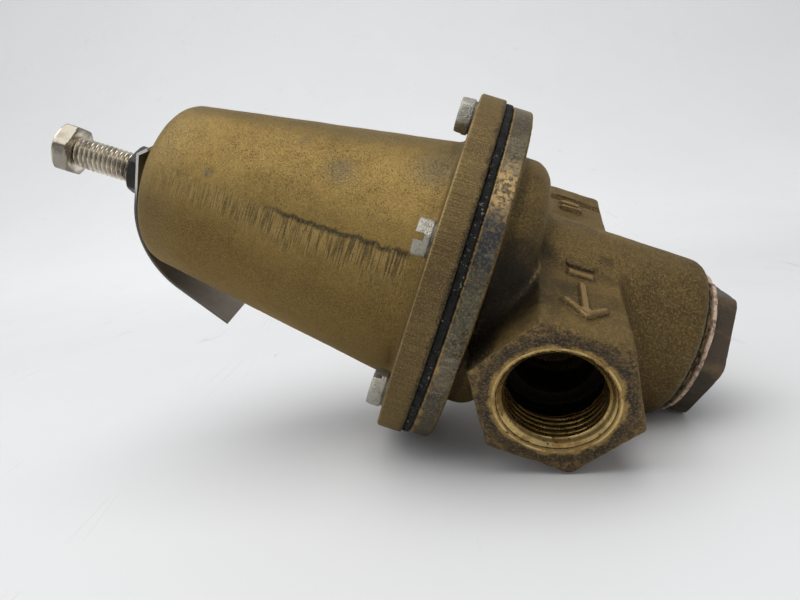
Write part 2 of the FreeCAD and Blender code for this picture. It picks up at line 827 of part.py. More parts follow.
def make_strainer_screen():
    """Cylindrical strainer screen that stands between the plug and the web."""
    low = measure("plug_shank_top") + "screen_fit"
    tall = measure("web_low") - "screen_fit" - low
    return washer("strainer_screen", "screen_inner_radius", "screen_radius", low, tall)


# ---------------------------------------------------------------- assembly

def make_all():
    """Every sub-part, in the order it would go together."""
    tail_hole = measure("stem_tail_radius") + "stem_fit"
    stem_hole = measure("stem_radius") + "stem_fit"
    disc_top = LEVEL["disc_top"]
    return [
        make_valve_body(),
        make_seat_ring(),
        make_strainer_screen(),
        make_bottom_plug(),
        washer("plug_gasket", measure("plug_shank_radius") + "screen_fit", "gasket_radius",
               "plug_hex_height", measure("body_end") - "plug_hex_height"),
        make_stem(),
        washer("disc_washer", tail_hole, "disc_washer_radius", disc_top,
               measure("stem_shoulder") - disc_top),
        washer("valve_disc", tail_hole, "disc_radius", "disc_low", "disc_thickness"),
        make_disc_holder(),
        hex_nut("disc_nut", "disc_nut_corner", measure("holder_low") - "disc_nut_height",
                "disc_nut_height", tail_hole, 0.0),
        coil("closing_spring", "closing_spring_radius", "closing_spring_wire",
             "plug_shank_top", "holder_low", "closing_spring_turns"),
        washer("diaphragm_washer", stem_hole, "washer_radius", LEVEL["washer_low"],
               "washer_thickness"),
        make_diaphragm(),
        make_pressure_plate(),
        washer("stem_washer", stem_hole, "stem_washer_radius", LEVEL["plate_boss_top"],
               "stem_washer_thickness"),
        hex_nut("stem_nut", "stem_nut_corner", LEVEL["stem_nut_low"], "stem_nut_height",
                stem_hole, 0.0),
        coil("range_spring", "spring_mean_radius", "spring_wire_radius", LEVEL["plate_top"],
             "button_low", "spring_turns"),
        make_spring_button(),
        make_spring_cage(),
        make_flange_screws(),
        make_adjusting_bolt(),
        make_data_tag(),
        make_lock_nut(),
    ]


def check_and_write(pieces):
    """Stops on any failed object or bad shape, then writes one STEP file for each piece."""
    doc.recompute()
    for item in doc.Objects:
        if "Invalid" in item.State or "Error" in item.State:
            raise RuntimeError("%s did not compute: %s" % (item.Label, item.State))
    for piece in pieces:
        shape = piece.Shape
        if shape.isNull() or not shape.isValid():
            raise RuntimeError(piece.Label + " has no valid shape")
        print("%-18s %d solid(s) %10.1f mm3" % (piece.Label, len(shape.Solids), shape.Volume))
    os.makedirs(OUTPUT, exist_ok=True)
    for piece in pieces:
        piece.Shape.exportStep(os.path.join(OUTPUT, piece.Label + ".step"))


make_sheet()
check_and_write(make_all())
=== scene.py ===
"""Water pressure reducing valve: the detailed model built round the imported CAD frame."""

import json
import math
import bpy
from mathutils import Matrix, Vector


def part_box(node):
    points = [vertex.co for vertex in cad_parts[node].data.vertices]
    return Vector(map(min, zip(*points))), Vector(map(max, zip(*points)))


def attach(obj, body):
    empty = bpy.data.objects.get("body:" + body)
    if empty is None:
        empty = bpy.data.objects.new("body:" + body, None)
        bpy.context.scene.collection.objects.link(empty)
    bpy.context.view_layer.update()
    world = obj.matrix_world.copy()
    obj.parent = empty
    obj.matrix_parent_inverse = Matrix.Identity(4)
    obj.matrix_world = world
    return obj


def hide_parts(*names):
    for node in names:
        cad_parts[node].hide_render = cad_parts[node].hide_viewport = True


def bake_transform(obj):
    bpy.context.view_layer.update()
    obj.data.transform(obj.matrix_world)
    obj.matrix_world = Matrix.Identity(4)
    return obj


bl_info = {
    "name": "Pressure Reducing Valve",
    "version": (1, 0, 0),
    "blender": (4, 5, 0),
    "location": "3D View > Sidebar > Valve",
    "description": "Builds a worn bronze pressure reducing valve piece by piece",
    "category": "Add Mesh",
}

import bmesh
import bpy
import numpy as np
from bpy.props import (FloatProperty, FloatVectorProperty, IntProperty, PointerProperty)
from mathutils import Matrix, Vector

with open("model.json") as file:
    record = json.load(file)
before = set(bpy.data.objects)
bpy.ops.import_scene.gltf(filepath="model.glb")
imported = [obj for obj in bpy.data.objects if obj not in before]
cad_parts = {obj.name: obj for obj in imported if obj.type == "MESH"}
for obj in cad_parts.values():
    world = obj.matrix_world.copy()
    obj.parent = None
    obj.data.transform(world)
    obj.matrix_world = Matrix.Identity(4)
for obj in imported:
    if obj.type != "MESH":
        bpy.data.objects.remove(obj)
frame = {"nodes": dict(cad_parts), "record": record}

MM = 0.001
HEX_FLAT = math.cos(math.pi / 6.0)  # a hexagon's half width across flats, over its corner's
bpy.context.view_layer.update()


# ---------------------------------------------------------------- sizes read from the frame

def node_low(name):
    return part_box(name)[0]


def node_high(name):
    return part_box(name)[1]


def mount(name):
    """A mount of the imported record."""
    for entry in frame["record"]["mounts"]:
        if entry["name"] == name:
            return entry
    raise RuntimeError("the record has no mount " + name)


CASTING_TOP = node_high("valve_body")[2] / MM
PORT_REACH = node_high("valve_body")[0] / MM
PORT_HEIGHT = mount("outlet")["pos_m"][2] / MM
CAGE_LOW = node_low("spring_cage")[2] / MM
CAGE_TOP = node_high("spring_cage")[2] / MM
CAGE_RADIUS = node_high("spring_cage")[1] / MM
RUBBER_RADIUS = node_high("diaphragm")[1] / MM
BOLT_TIP = node_low("adjusting_bolt")[2] / MM
BOLT_TOP = node_high("adjusting_bolt")[2] / MM
NUT_LOW = node_low("lock_nut")[2] / MM
NUT_TOP = node_high("lock_nut")[2] / MM
TAG_TOP = node_high("data_tag")[2] / MM
TAG_HALF_WIDTH = node_high("data_tag")[0] / MM
GASKET_LOW = node_low("plug_gasket")[2] / MM
GASKET_TOP = node_high("plug_gasket")[2] / MM
GASKET_RADIUS = node_high("plug_gasket")[1] / MM
SCREW_TOP = node_high("flange_screws")[2] / MM
CAGE_FLANGE_TOP = SCREW_TOP - 4.6
SCREW_RING_RADIUS, SCREW_FIRST_ANGLE, SCREW_HOLE_RADIUS = 45.5, 32.3, 3.2
NUT_CORNER = 8.25


# ---------------------------------------------------------------- settings

def length(name, text, default):
    return FloatProperty(name=name, description=text, default=default, unit="LENGTH")


def angle(name, text, default):
    return FloatProperty(name=name, description=text, default=math.radians(default),
                         subtype="ANGLE")


def tint(name, text, default):
    return FloatVectorProperty(name=name, description=text, default=default, size=3,
                               subtype="COLOR", min=0.0, max=1.0)


class ValveBodySettings(bpy.types.PropertyGroup):
    cell: length("Mesh cell", "Spacing of the grid the casting is meshed on", 0.85 * MM)
    fillet: length("Cast fillet", "Blend where two cast shapes meet", 5.0 * MM)
    roughness: length("Cast roughness", "Depth of the sand-cast skin", 0.28 * MM)
    bronze: tint("Bronze", "Warm bronze of the body casting", (0.185, 0.122, 0.040))
    tarnish: tint("Tarnish", "Dark tarnish on the body casting", (0.036, 0.028, 0.019))


class SpringCageSettings(bpy.types.PropertyGroup):
    roughness: length("Cast roughness", "Depth of the sand-cast skin", 0.22 * MM)
    gold: tint("Gold bronze", "Light bronze of the cage", (0.268, 0.176, 0.050))
    brown: tint("Brown bronze", "Brown bronze of the cage", (0.118, 0.068, 0.014))


class PortSettings(bpy.types.PropertyGroup):
    mouth_radius: length("Mouth radius", "Outer radius of the lead-in bevel", 14.8 * MM)
    bore_radius: length("Bore radius", "Radius at the thread's crests", 12.2 * MM)
    thread_pitch: length("Thread pitch", "Advance of the pipe thread in a turn", 1.814 * MM)
    thread_depth: length("Thread depth", "Depth of the worn pipe thread", 0.42 * MM)
    brass: tint("Cut brass", "Bright cut metal of the ports", (0.560, 0.400, 0.160))


class ScrewSettings(bpy.types.PropertyGroup):
    count: IntProperty(name="Screws", description="Number of flange screws", default=6, min=1)
    ring_radius: length("Ring radius", "Radius of the screws' circle",
                        SCREW_RING_RADIUS * MM)
    first_angle: angle("First screw", "Angle of the first screw from the outlet",
                       SCREW_FIRST_ANGLE)
    head_corner: length("Head corner", "Centre to corner of a screw's head", 5.5 * MM)
    slot_width: length("Slot width", "Width of the screwdriver slot", 1.8 * MM)
    zinc: tint("Zinc", "Dull plating of the screws", (0.300, 0.284, 0.238))


class AdjusterSettings(bpy.types.PropertyGroup):
    thread_radius: length("Thread radius", "Outer radius of the bolt's thread", 4.76 * MM)
    thread_pitch: length("Thread pitch", "Advance of the bolt in a turn", 1.5875 * MM)
    head_corner: length("Head corner", "Centre to corner of the bolt's head", NUT_CORNER * MM)
    head_height: length("Head height", "Height of the bolt's head", 5.2 * MM)
    steel: tint("Plated steel", "Bright plating of the bolt", (0.760, 0.690, 0.570))
    black: tint("Black oxide", "Black finish of the lock nut", (0.011, 0.009, 0.008))
    sheet: tint("Stainless", "Bright sheet of the tag", (0.640, 0.620, 0.590))


class PlugSettings(bpy.types.PropertyGroup):
    corner: length("Plug corner", "Centre to corner of the plug's hexagon", 21.4 * MM)
    height: length("Plug height", "Height of the plug's hexagon", 6.2 * MM)
    bronze: tint("Plug bronze", "Dark bronze of the plug", (0.085, 0.060, 0.038))
    fibre: tint("Fibre", "Pale fibre of the gasket", (0.560, 0.400, 0.290))


class StageSettings(bpy.types.PropertyGroup):
    lens: FloatProperty(name="Lens", description="Focal length in millimetres",
                        default=28.5)
    floor: tint("Floor", "Pale table top", (0.735, 0.737, 0.741))
    key_power: FloatProperty(name="Overhead light", description="Power of the overhead light",
                             default=7.0, unit="POWER")


SETTINGS = (
    ("valve_casting", ValveBodySettings),
    ("valve_cage", SpringCageSettings),
    ("valve_ports", PortSettings),
    ("valve_screws", ScrewSettings),
    ("valve_adjuster", AdjusterSettings),
    ("valve_plug", PlugSettings),
    ("valve_stage", StageSettings),
)


# ---------------------------------------------------------------- shape helpers

def lattice_noise(points, size, seed):
    """Smooth random values from 0 to 1 at the points, changing over about the size given."""
    rng = np.random.default_rng(seed)
    table = rng.random(4096)
    scaled = points / size + 1000.0
    cell = np.floor(scaled).astype(np.int64)
    part = scaled - cell
    part = part * part * (3.0 - 2.0 * part)
    total = np.zeros(len(points))
    for corner in range(8):
        offset = np.array([corner & 1, corner >> 1 & 1, corner >> 2 & 1])
        place = cell + offset
        key = (place[:, 0] * 73856093 ^ place[:, 1] * 19349663 ^ place[:, 2] * 83492791) % 4096
        weight = np.prod(np.where(offset, part, 1.0 - part), axis=1)
        total += table[key] * weight
    return total


def rounded_path(corners):
    """A path through (radius, height, rounding) corners, each turned by an arc."""
    path = []
    last = len(corners) - 1
    for index, (r, z, rounding) in enumerate(corners):
        here = np.array([r, z], float)
        if rounding <= 0.0 or index in (0, last):
            path.append(tuple(here))
            continue
        back = np.array(corners[index - 1][:2], float) - here
        ahead = np.array(corners[index + 1][:2], float) - here
        back_length, ahead_length = np.linalg.norm(back), np.linalg.norm(ahead)
        back, ahead = back / back_length, ahead / ahead_length
        half = math.acos(float(np.clip(back @ ahead, -1.0, 1.0))) / 2.0
        run = min(rounding / math.tan(half), back_length * 0.99, ahead_length * 0.99)
        radius = run * math.tan(half)
        centre = here + (back + ahead) / np.linalg.norm(back + ahead) * radius / math.sin(half)
        first, final = here + back * run - centre, here + ahead * run - centre
        sweep = math.pi - 2.0 * half
        side = math.copysign(1.0, first[0] * final[1] - first[1] * final[0])
        steps = max(3, int(math.degrees(sweep) / 9.0))
        for step in range(steps + 1):
            turn = side * sweep * step / steps
            path.append(tuple(centre + (first[0] * math.cos(turn) - first[1] * math.sin(turn),
                                        first[0] * math.sin(turn) + first[1] * math.cos(turn))))
    return path


def dense(path, step):
    """The same path with no run longer than the step."""
    fine = [path[0]]
    for (r0, z0), (r1, z1) in zip(path, path[1:]):
        pieces = max(1, math.ceil(math.hypot(r1 - r0, z1 - z0) / step))
        for k in range(1, pieces + 1):
            fine.append((r0 + (r1 - r0) * k / pieces, z0 + (z1 - z0) * k / pieces))
    return fine


def hexagon_radius(turn, corner, phase, softness=0.0):
    """Centre to edge of a hexagon in each direction, with its corners a little rounded."""
    sector = (turn - phase) % (math.pi / 3.0) - math.pi / 6.0
    radius = corner * HEX_FLAT / np.cos(sector)
    if softness > 0.0:
        radius = soft_least(radius, np.full_like(radius, corner - softness * 0.55), softness)
    return radius


def soft_least(a, b, width):
    """The lesser of two values with a rounded change-over."""
    if width <= 0.0:
        return np.minimum(a, b)
    share = np.maximum(width - np.abs(a - b), 0.0) / width
    return np.minimum(a, b) - share * share * width * 0.25


def turned_grid(path, segments, closed=False, corner=None, phase=0.0, softness=0.0):
    """Points and faces of a path turned about Z. With a corner radius, it is also cut to a
    hexagon. A closed path makes a ring; an open one starts and ends on the axis."""
    turn = np.arange(segments) * 2.0 * math.pi / segments
    radii = np.array([r for r, _ in path])[:, None] * np.ones(segments)
    if corner is not None:
        flat = hexagon_radius(turn, corner, phase, softness)[None, :]
        radii = np.where(radii < corner * 0.8, radii, soft_least(radii, flat, softness))
    heights = np.array([z for _, z in path])[:, None] * np.ones(segments)
    points = np.stack([radii * np.cos(turn), radii * np.sin(turn), heights], axis=2)
    rows = len(path)
    faces = []
    for row in range(rows if closed else rows - 1):
        above = (row + 1) % rows
        for k in range(segments):
            side = (k + 1) % segments
            faces.append((row * segments + k, row * segments + side,
                          above * segments + side, above * segments + k))
    return points.reshape(-1, 3), faces


def new_mesh(name, points, faces):
    """A mesh from points in millimetres, merged, closed and facing outwards."""
    mesh = bpy.data.meshes.new(name)
    mesh.from_pydata((np.asarray(points) * MM).tolist(), [], faces)
    tidy_mesh(mesh)
    return mesh


def tidy_mesh(mesh):
    """Merges coincident points and faces every surface outwards."""
    work = bmesh.new()
    work.from_mesh(mesh)
    bmesh.ops.remove_doubles(work, verts=work.verts, dist=1e-6)
    bmesh.ops.dissolve_degenerate(work, edges=work.edges, dist=1e-7)
    bmesh.ops.recalc_face_normals(work, faces=work.faces)
    work.to_mesh(mesh)
    work.free()
    mesh.update()


def smooth_by_angle(mesh, limit=32.0):
    """Smooth shading that stays crisp at edges sharper than the limit, in degrees."""
    work = bmesh.new()
    work.from_mesh(mesh)
    for face in work.faces:
        face.smooth = True
    bound = math.radians(limit)
    for edge in work.edges:
        edge.smooth = len(edge.link_faces) == 2 and edge.calc_face_angle(0.0) < bound
    work.to_mesh(mesh)
    work.free()


def add_piece(mesh, look, body, replaced=()):
    """Puts a mesh in the scene, by its own name, in place of its CAD nodes. It rides on its body
    when that is a name; when the body is (from, to, start, end), the mesh is only baked in place."""
    obj = bpy.data.objects.new(mesh.name, mesh)
    bpy.context.scene.collection.objects.link(obj)
    mesh.materials.clear()
    mesh.materials.append(finish(look))
    if isinstance(body, str):
        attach(obj, body)
    else:
        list(body)
        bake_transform(obj)
    if replaced:
        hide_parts(*replaced)
    return obj


def join_shells(name, shells):
    """One mesh holding several closed shells of (points in millimetres, faces)."""
    points, faces = [], []
    for shell_points, shell_faces in shells:
        start = len(points)
        points.extend(np.asarray(shell_points).tolist())
        faces.extend(tuple(index + start for index in face) for face in shell_faces)
    return new_mesh(name, points, faces)


def set_mask(mesh, name, values):
    """Stores a value from 0 to 1 at each point of a mesh, for its material to read."""
    layer = mesh.attributes.new(name, "FLOAT", "POINT")
    layer.data.foreach_set("value", np.clip(values, 0.0, 1.0).astype(np.float32))


def mesh_points(mesh):
    flat = np.zeros(len(mesh.vertices) * 3, np.float32)
    mesh.vertices.foreach_get("co", flat)
    return flat.reshape(-1, 3).astype(float) / MM


def cut_with(mesh, cutter):
    """The mesh less the cutter, by an exact boolean that is then made plain."""
    target = bpy.data.objects.new("cut_target", mesh)
    tool = bpy.data.objects.new("cut_tool", cutter)
    for obj in (target, tool):
        bpy.context.scene.collection.objects.link(obj)
    modifier = target.modifiers.new("cut", "BOOLEAN")
    modifier.operation = "DIFFERENCE"
    modifier.solver = "EXACT"
    modifier.object = tool
    result = plain_copy(target, mesh.name)
    bpy.data.objects.remove(target)
    bpy.data.objects.remove(tool)
    return result


def plain_copy(obj, name):
    """The evaluated object as a plain mesh."""
    bpy.context.view_layer.update()
    evaluated = obj.evaluated_get(bpy.context.evaluated_depsgraph_get())
    mesh = bpy.data.meshes.new_from_object(evaluated)
    mesh.name = name
    return mesh


def box_mesh(name, low, high):
    """A box between two corners in millimetres."""
    points = [(x, y, z) for x in (low[0], high[0]) for y in (low[1], high[1])
              for z in (low[2], high[2])]
    faces = [(0, 1, 3, 2), (4, 6, 7, 5), (0, 4, 5, 1), (2, 3, 7, 6), (0, 2, 6, 4), (1, 5, 7, 3)]
    return new_mesh(name, points, faces)


def from_axis(points):
    """Distance of each point from the valve's axis."""
    return np.hypot(points[:, 0], points[:, 1])


def spread(points, scale):
    """Moves points towards the valve's axis or away from it."""
    points[:, :2] *= scale[:, None]


def strip_faces(rows, wide):
    """Faces of a closed sheet made of a near grid and a far grid of rows by columns."""
    size = rows * wide
    faces = []
    for row in range(rows - 1):
        for column in range(wide - 1):
            a = row * wide + column
            quad = (a, a + 1, a + wide + 1, a + wide)
            faces += [quad, tuple(index + size for index in reversed(quad))]
    loop = (list(range(wide)) + [r * wide + wide - 1 for r in range(1, rows)]
            + [(rows - 1) * wide + c for c in range(wide - 2, -1, -1)]
            + [r * wide for r in range(rows - 2, 0, -1)])
    for a, b in zip(loop, loop[1:] + loop[:1]):
        faces.append((a, b, b + size, a + size))
    return faces


# ---------------------------------------------------------------- the body casting as a field

def polygon_distance(r, z, corners):
    """Signed distance to a closed outline, negative inside."""
    corners = np.asarray(corners, float)
    nearest = np.full(r.shape, 1e9)
    sign = np.ones(r.shape)
    for (r0, z0), (r1, z1) in zip(corners, np.roll(corners, 1, axis=0)):
        er, ez = r1 - r0, z1 - z0
        wr, wz = r - r0, z - z0
        share = np.clip((wr * er + wz * ez) / (er * er + ez * ez), 0.0, 1.0)
        nearest = np.minimum(nearest, (wr - er * share) ** 2 + (wz - ez * share) ** 2)
        above, below = z >= z0, z < z1
        left = er * wz > ez * wr
        flip = (above & below & left) | (~above & ~below & ~left)
        sign = np.where(flip, -sign, sign)
    return sign * np.sqrt(nearest)


def rod_distance(points, start, direction, reach, radius):
    """Signed distance to a cylinder that runs from a start along a direction."""
    offset = points - np.asarray(start)
    along = offset @ np.asarray(direction)
    across = np.linalg.norm(offset - along[:, None] * np.asarray(direction), axis=1)
    side = across - radius
    end = np.abs(along - reach / 2.0) - reach / 2.0
    return np.minimum(np.maximum(side, end), 0.0) + np.hypot(np.maximum(side, 0.0),
                                                             np.maximum(end, 0.0))


def slab_distance(points, centre, half, rounding=0.0):
    """Signed distance to a box with rounded edges."""
    q = np.abs(points - np.asarray(centre)) - (np.asarray(half) - rounding)
    outside = np.linalg.norm(np.maximum(q, 0.0), axis=1)
    return outside + np.minimum(q.max(axis=1), 0.0) - rounding


BARREL_LOW, BODY_FLANGE_RADIUS = 7.4, 51.0
BARREL = rounded_path([(0, BARREL_LOW, 0), (21.0, BARREL_LOW, 0), (21.0, 9.6, 0), (23.7, 9.6, 0.3),
                       (24.8, 11.6, 6.0), (25.5, 60.0, 0), (0, 60.0, 0)])
BOWL = rounded_path([(0, 59.4, 0), (38.8, 59.4, 7.0), (38.8, 73.0, 0), (0, 73.0, 0)])
FLANGE = rounded_path([(0, 71.1, 0), (BODY_FLANGE_RADIUS, 71.1, 0.9),
                       (BODY_FLANGE_RADIUS, CASTING_TOP, 0.35), (0, CASTING_TOP, 0)])
CHAMBER = [(0, 7.0), (17.0, 7.0), (17.0, 42.0), (10.5, 42.0), (10.5, 48.0), (13.0, 48.0),
           (13.0, 64.0), (34.0, 64.0), (34.0, CASTING_TOP + 2.0), (0, CASTING_TOP + 2.0)]
PORT_FLAT = 19.7
PORT_CORNER_ROUND = 1.1
THREAD_START = 33.8
THREAD_END = 41.0
LINER_RADIUS = 14.2
SLANT = math.radians(28.6)
PASSAGE_REACH, PASSAGE_RADIUS = 27.0, 8.5


def flow_marks(points):
    """Plain raised bars and an arrow that points from inlet to outlet, on one port flat."""
    x, y, z = points[:, 0], points[:, 1], points[:, 2] - PORT_HEIGHT
    marks = slab_distance(points, (35.0, PORT_FLAT, PORT_HEIGHT), (8.0, 1.25, 1.0), 0.3)
    for centre in (17.0, 21.2, -30.0, -34.6, -39.2):
        marks = np.minimum(marks, slab_distance(points, (centre, PORT_FLAT, PORT_HEIGHT),
                                                (1.0, 1.25, 3.6), 0.3))
    lean = math.radians(42.0)
    for side in (1.0, -1.0):
        back = (43.6 - x) * math.cos(lean) + side * z * math.sin(lean)
        across = (x - 43.6) * math.sin(lean) + side * z * math.cos(lean)
        marks = np.minimum(marks, slab_distance(np.stack([back, y, across], axis=1),
                                                (3.6, PORT_FLAT, 0.0), (4.4, 1.25, 1.0), 0.3))
    return marks


def casting_distance(points, settings):
    """Signed distance to the body casting, in millimetres."""
    x, y, z = points[:, 0], points[:, 1], points[:, 2]
    r = np.hypot(x, y)
    fillet = settings.fillet / MM
    skin = settings.roughness / MM * (
        0.65 * lattice_noise(points, 5.0, 11) + 0.35 * lattice_noise(points, 1.9, 12))
    barrel = polygon_distance(r, z, BARREL)
    bowl = polygon_distance(r, z, BOWL)
    core = soft_least(barrel, bowl, fillet)

    port_corner = (PORT_FLAT - PORT_CORNER_ROUND) / HEX_FLAT
    corner_turns = [k * math.pi / 3.0 + math.pi / 2.0 for k in range(6)]
    flats = polygon_distance(y, z - PORT_HEIGHT, [
        (port_corner * math.cos(turn), port_corner * math.sin(turn))
        for turn in corner_turns]) - PORT_CORNER_ROUND
    edge = 0.7
    ends = np.abs(x) - PORT_REACH
    ragged = 0.5 * lattice_noise(points, 2.6, 13) * np.clip(1.0 + ends / 2.5, 0.0, 1.0)
    flats = flats + ragged
    port = (np.minimum(np.maximum(flats, ends) + edge, 0.0)
            + np.hypot(np.maximum(flats + edge, 0.0), np.maximum(ends + edge, 0.0)) - edge)
    port = soft_least(port, flow_marks(points), 0.4)

    casting = soft_least(core, port, fillet * 0.8) + skin
    flange = polygon_distance(r, z, FLANGE)
    seat = soft_least(core + skin, flange, fillet * 0.6)
    solid = np.minimum(casting, seat)

    hollow = polygon_distance(r, z, CHAMBER)
    for side in (1.0, -1.0):
        out = (side, 0.0, 0.0)
        hollow = np.minimum(hollow, rod_distance(points, (side * 18.0, 0.0, PORT_HEIGHT), out,
                                                 40.0, 10.5))
        hollow = np.minimum(hollow, rod_distance(points, (side * THREAD_START, 0.0, PORT_HEIGHT),
                                                 out, 30.0, LINER_RADIUS))
    for start, side in (((30.0, 0.0, 48.0), 1.0), ((-30.0, 0.0, 43.4), -1.0)):
        along = (-side * math.cos(SLANT), 0.0, side * math.sin(SLANT))
        hollow = np.minimum(hollow, rod_distance(points, start, along, PASSAGE_REACH,
                                                 PASSAGE_RADIUS))
    for k in range(6):
        turn = math.radians(SCREW_FIRST_ANGLE + 60.0 * k)
        hole = np.hypot(x - SCREW_RING_RADIUS * math.cos(turn),
                        y - SCREW_RING_RADIUS * math.sin(turn))
        hollow = np.minimum(hollow, hole - SCREW_HOLE_RADIUS)
    return np.maximum(solid, -hollow)


def in_chunks(points, measure, size=150000):
    return np.concatenate([measure(points[k:k + size]) for k in range(0, len(points), size)])


def net_surface(measure, low, high, cell):
    """Points and faces of the zero surface of a distance field, as a net of quads."""
    axes = [np.arange(a, b + cell, cell) for a, b in zip(low, high)]
    shape = tuple(len(axis) for axis in axes)
    grid = np.stack(np.meshgrid(*axes, indexing="ij"), axis=3).reshape(-1, 3)
    field = in_chunks(grid, measure).reshape(shape)
    inside = field < 0.0
    corners = [(i, j, k) for i in (0, 1) for j in (0, 1) for k in (0, 1)]
    count = np.zeros(tuple(n - 1 for n in shape), np.int8)
    for i, j, k in corners:
        count += inside[i:shape[0] - 1 + i, j:shape[1] - 1 + j, k:shape[2] - 1 + k]
    active = np.argwhere((count > 0) & (count < 8))
    ids = np.full(count.shape, -1, np.int64)
    ids[tuple(active.T)] = np.arange(len(active))
    values = np.stack([field[tuple((active + c).T)] for c in corners], axis=1)
    total = np.zeros((len(active), 3))
    hits = np.zeros(len(active))
    for a in range(8):
        for b in range(a + 1, 8):
            step = np.array(corners[b]) - np.array(corners[a])
            if np.abs(step).sum() != 1:
                continue
            crossed = (values[:, a] < 0) != (values[:, b] < 0)
            share = np.where(crossed, values[:, a] / np.where(crossed, values[:, a]
                                                              - values[:, b], 1.0), 0.0)
            total += crossed[:, None] * (np.array(corners[a]) + share[:, None] * step)
            hits += crossed
    points = (active + total / hits[:, None]) * cell + np.array(low)

    faces = []
    for axis in range(3):
        one, two = [k for k in range(3) if k != axis]
        near = [slice(None)] * 3
        far = [slice(None)] * 3
        near[axis], far[axis] = slice(0, shape[axis] - 1), slice(1, shape[axis])
        change = np.argwhere(inside[tuple(near)] != inside[tuple(far)])
        keep = (change[:, one] > 0) & (change[:, two] > 0)
        keep &= (change[:, one] < shape[one] - 1) & (change[:, two] < shape[two] - 1)
        change = change[keep]
        starts_inside = inside[tuple(change.T)]
        ring = []
        for da, db in ((0, 0), (1, 0), (1, 1), (0, 1)):
            place = change.copy()
            place[:, one] -= da
            place[:, two] -= db
            ring.append(ids[tuple(place.T)])
        quads = np.stack(ring, axis=1)
        outward = starts_inside if axis != 1 else ~starts_inside
        quads[~outward] = quads[~outward][:, ::-1]
        faces.append(quads)
    return points, np.concatenate(faces)


def slope(points, measure, h=0.04):
    """Direction in which a distance field grows fastest."""
    total = np.zeros_like(points)
    for direction in ((1, -1, -1), (-1, -1, 1), (-1, 1, -1), (1, 1, 1)):
        step = np.array(direction, float)
        total += in_chunks(points + step * h, measure)[:, None] * step
    size = np.linalg.norm(total, axis=1)
    return total / np.maximum(size, 1e-9)[:, None]


# ---------------------------------------------------------------- material helpers

class Value:
    """An output in a node tree, on which ordinary arithmetic makes math nodes."""

    def __init__(self, nodes, socket):
        self.nodes, self.socket = nodes, socket

    def __add__(self, other):
        return self.nodes.math("ADD", self, other)

    def __sub__(self, other):
        return self.nodes.math("SUBTRACT", self, other)

    def __rsub__(self, other):
        return self.nodes.math("SUBTRACT", other, self)

    def __mul__(self, other):
        return self.nodes.math("MULTIPLY", self, other)

    __radd__, __rmul__ = __add__, __mul__


class Nodes:
    """Short calls for building a node tree."""

    def __init__(self, tree):
        self.tree = tree

    def make(self, kind, **settings):
        node = self.tree.nodes.new(kind)
        for name, value in settings.items():
            setattr(node, name, value)
        return node

    def feed(self, socket, value):
        """Links a value to an input, or sets a plain number or colour on it."""
        if isinstance(value, Value):
            self.tree.links.new(value.socket, socket)
        elif value is not None:
            if socket.type == "RGBA" and len(value) == 3:
                value = (*value, 1.0)
            socket.default_value = value

    def call(self, kind, inputs=(), output=0, **settings):
        """Makes a node, feeds its inputs by name or in order, and gives one output."""
        node = self.make(kind, **settings)
        for key, value in inputs.items() if isinstance(inputs, dict) else enumerate(inputs):
            self.feed(node.inputs[key], value)
        return Value(self, node.outputs[output])

    def outputs(self, node):
        return {socket.name: Value(self, socket) for socket in node.outputs}

    def math(self, operation, a, b=None, clamp=False):
        return self.call("ShaderNodeMath", (a, b), operation=operation, use_clamp=clamp)

    def span(self, value, low, high, out_low=0.0, out_high=1.0):
        return self.call("ShaderNodeMapRange", (value, low, high, out_low, out_high),
                         interpolation_type="SMOOTHSTEP")

    def mix(self, share, a, b):
        """Mixes two colours."""
        return self.call("ShaderNodeMix", {0: share, 6: a, 7: b}, 2, data_type="RGBA",
                         clamp_factor=True)

    def blend(self, share, a, b):
        """Mixes two numbers."""
        return self.call("ShaderNodeMix", {0: share, 2: a, 3: b}, data_type="FLOAT")

    def noise(self, vector, scale, detail=3.0, roughness=0.6, distortion=0.0):
        return self.call("ShaderNodeTexNoise", {"Vector": vector, "Scale": scale, "Detail": detail,
                                                "Roughness": roughness, "Distortion": distortion})

    def place(self):
        return self.call("ShaderNodeTexCoord", output="Object")

    def mask(self, name):
        return self.call("ShaderNodeAttribute", output="Fac", attribute_name=name)

    def scaled(self, vector, scale, turn=0.0):
        return self.call("ShaderNodeMapping", {
            "Vector": vector, "Rotation": (0.0, 0.0, turn), "Scale": scale})

    def join(self, x, y, z):
        return self.call("ShaderNodeCombineXYZ", (x, y, z))

    def axes(self, vector):
        """The X, Y and Z of a vector."""
        split = self.make("ShaderNodeSeparateXYZ")
        self.feed(split.inputs[0], vector)
        return [Value(self, socket) for socket in split.outputs]

    def polar(self, vector):
        """Angle about Z in degrees, distance from Z and height, both in millimetres."""
        x, y, z = self.axes(vector)
        turn = self.math("ARCTAN2", y, x) * (180.0 / math.pi)
        return turn, self.math("SQRT", x * x + y * y) * (1.0 / MM), z * (1.0 / MM)

    def patch(self, vector, centre, size, soft=0.6, ragged=0.5, scale=90.0):
        """A ragged blot from 1 at a centre to 0 at about the size given, in millimetres."""
        away = self.call("ShaderNodeVectorMath", (vector, [c * MM for c in centre]), "Value",
                         operation="DISTANCE")
        edge = (self.math("DIVIDE", away, size * MM)
                + (self.noise(vector, scale, 4.0, 0.65) - 0.5) * (ragged * 2.0))
        return self.span(edge, 1.0 + soft * 0.5, 1.0 - soft)

    def group(self, tree, **values):
        node = self.make("ShaderNodeGroup", node_tree=tree)
        for name, value in values.items():
            self.feed(node.inputs[name.replace("_", " ")], value)
        return self.outputs(node)


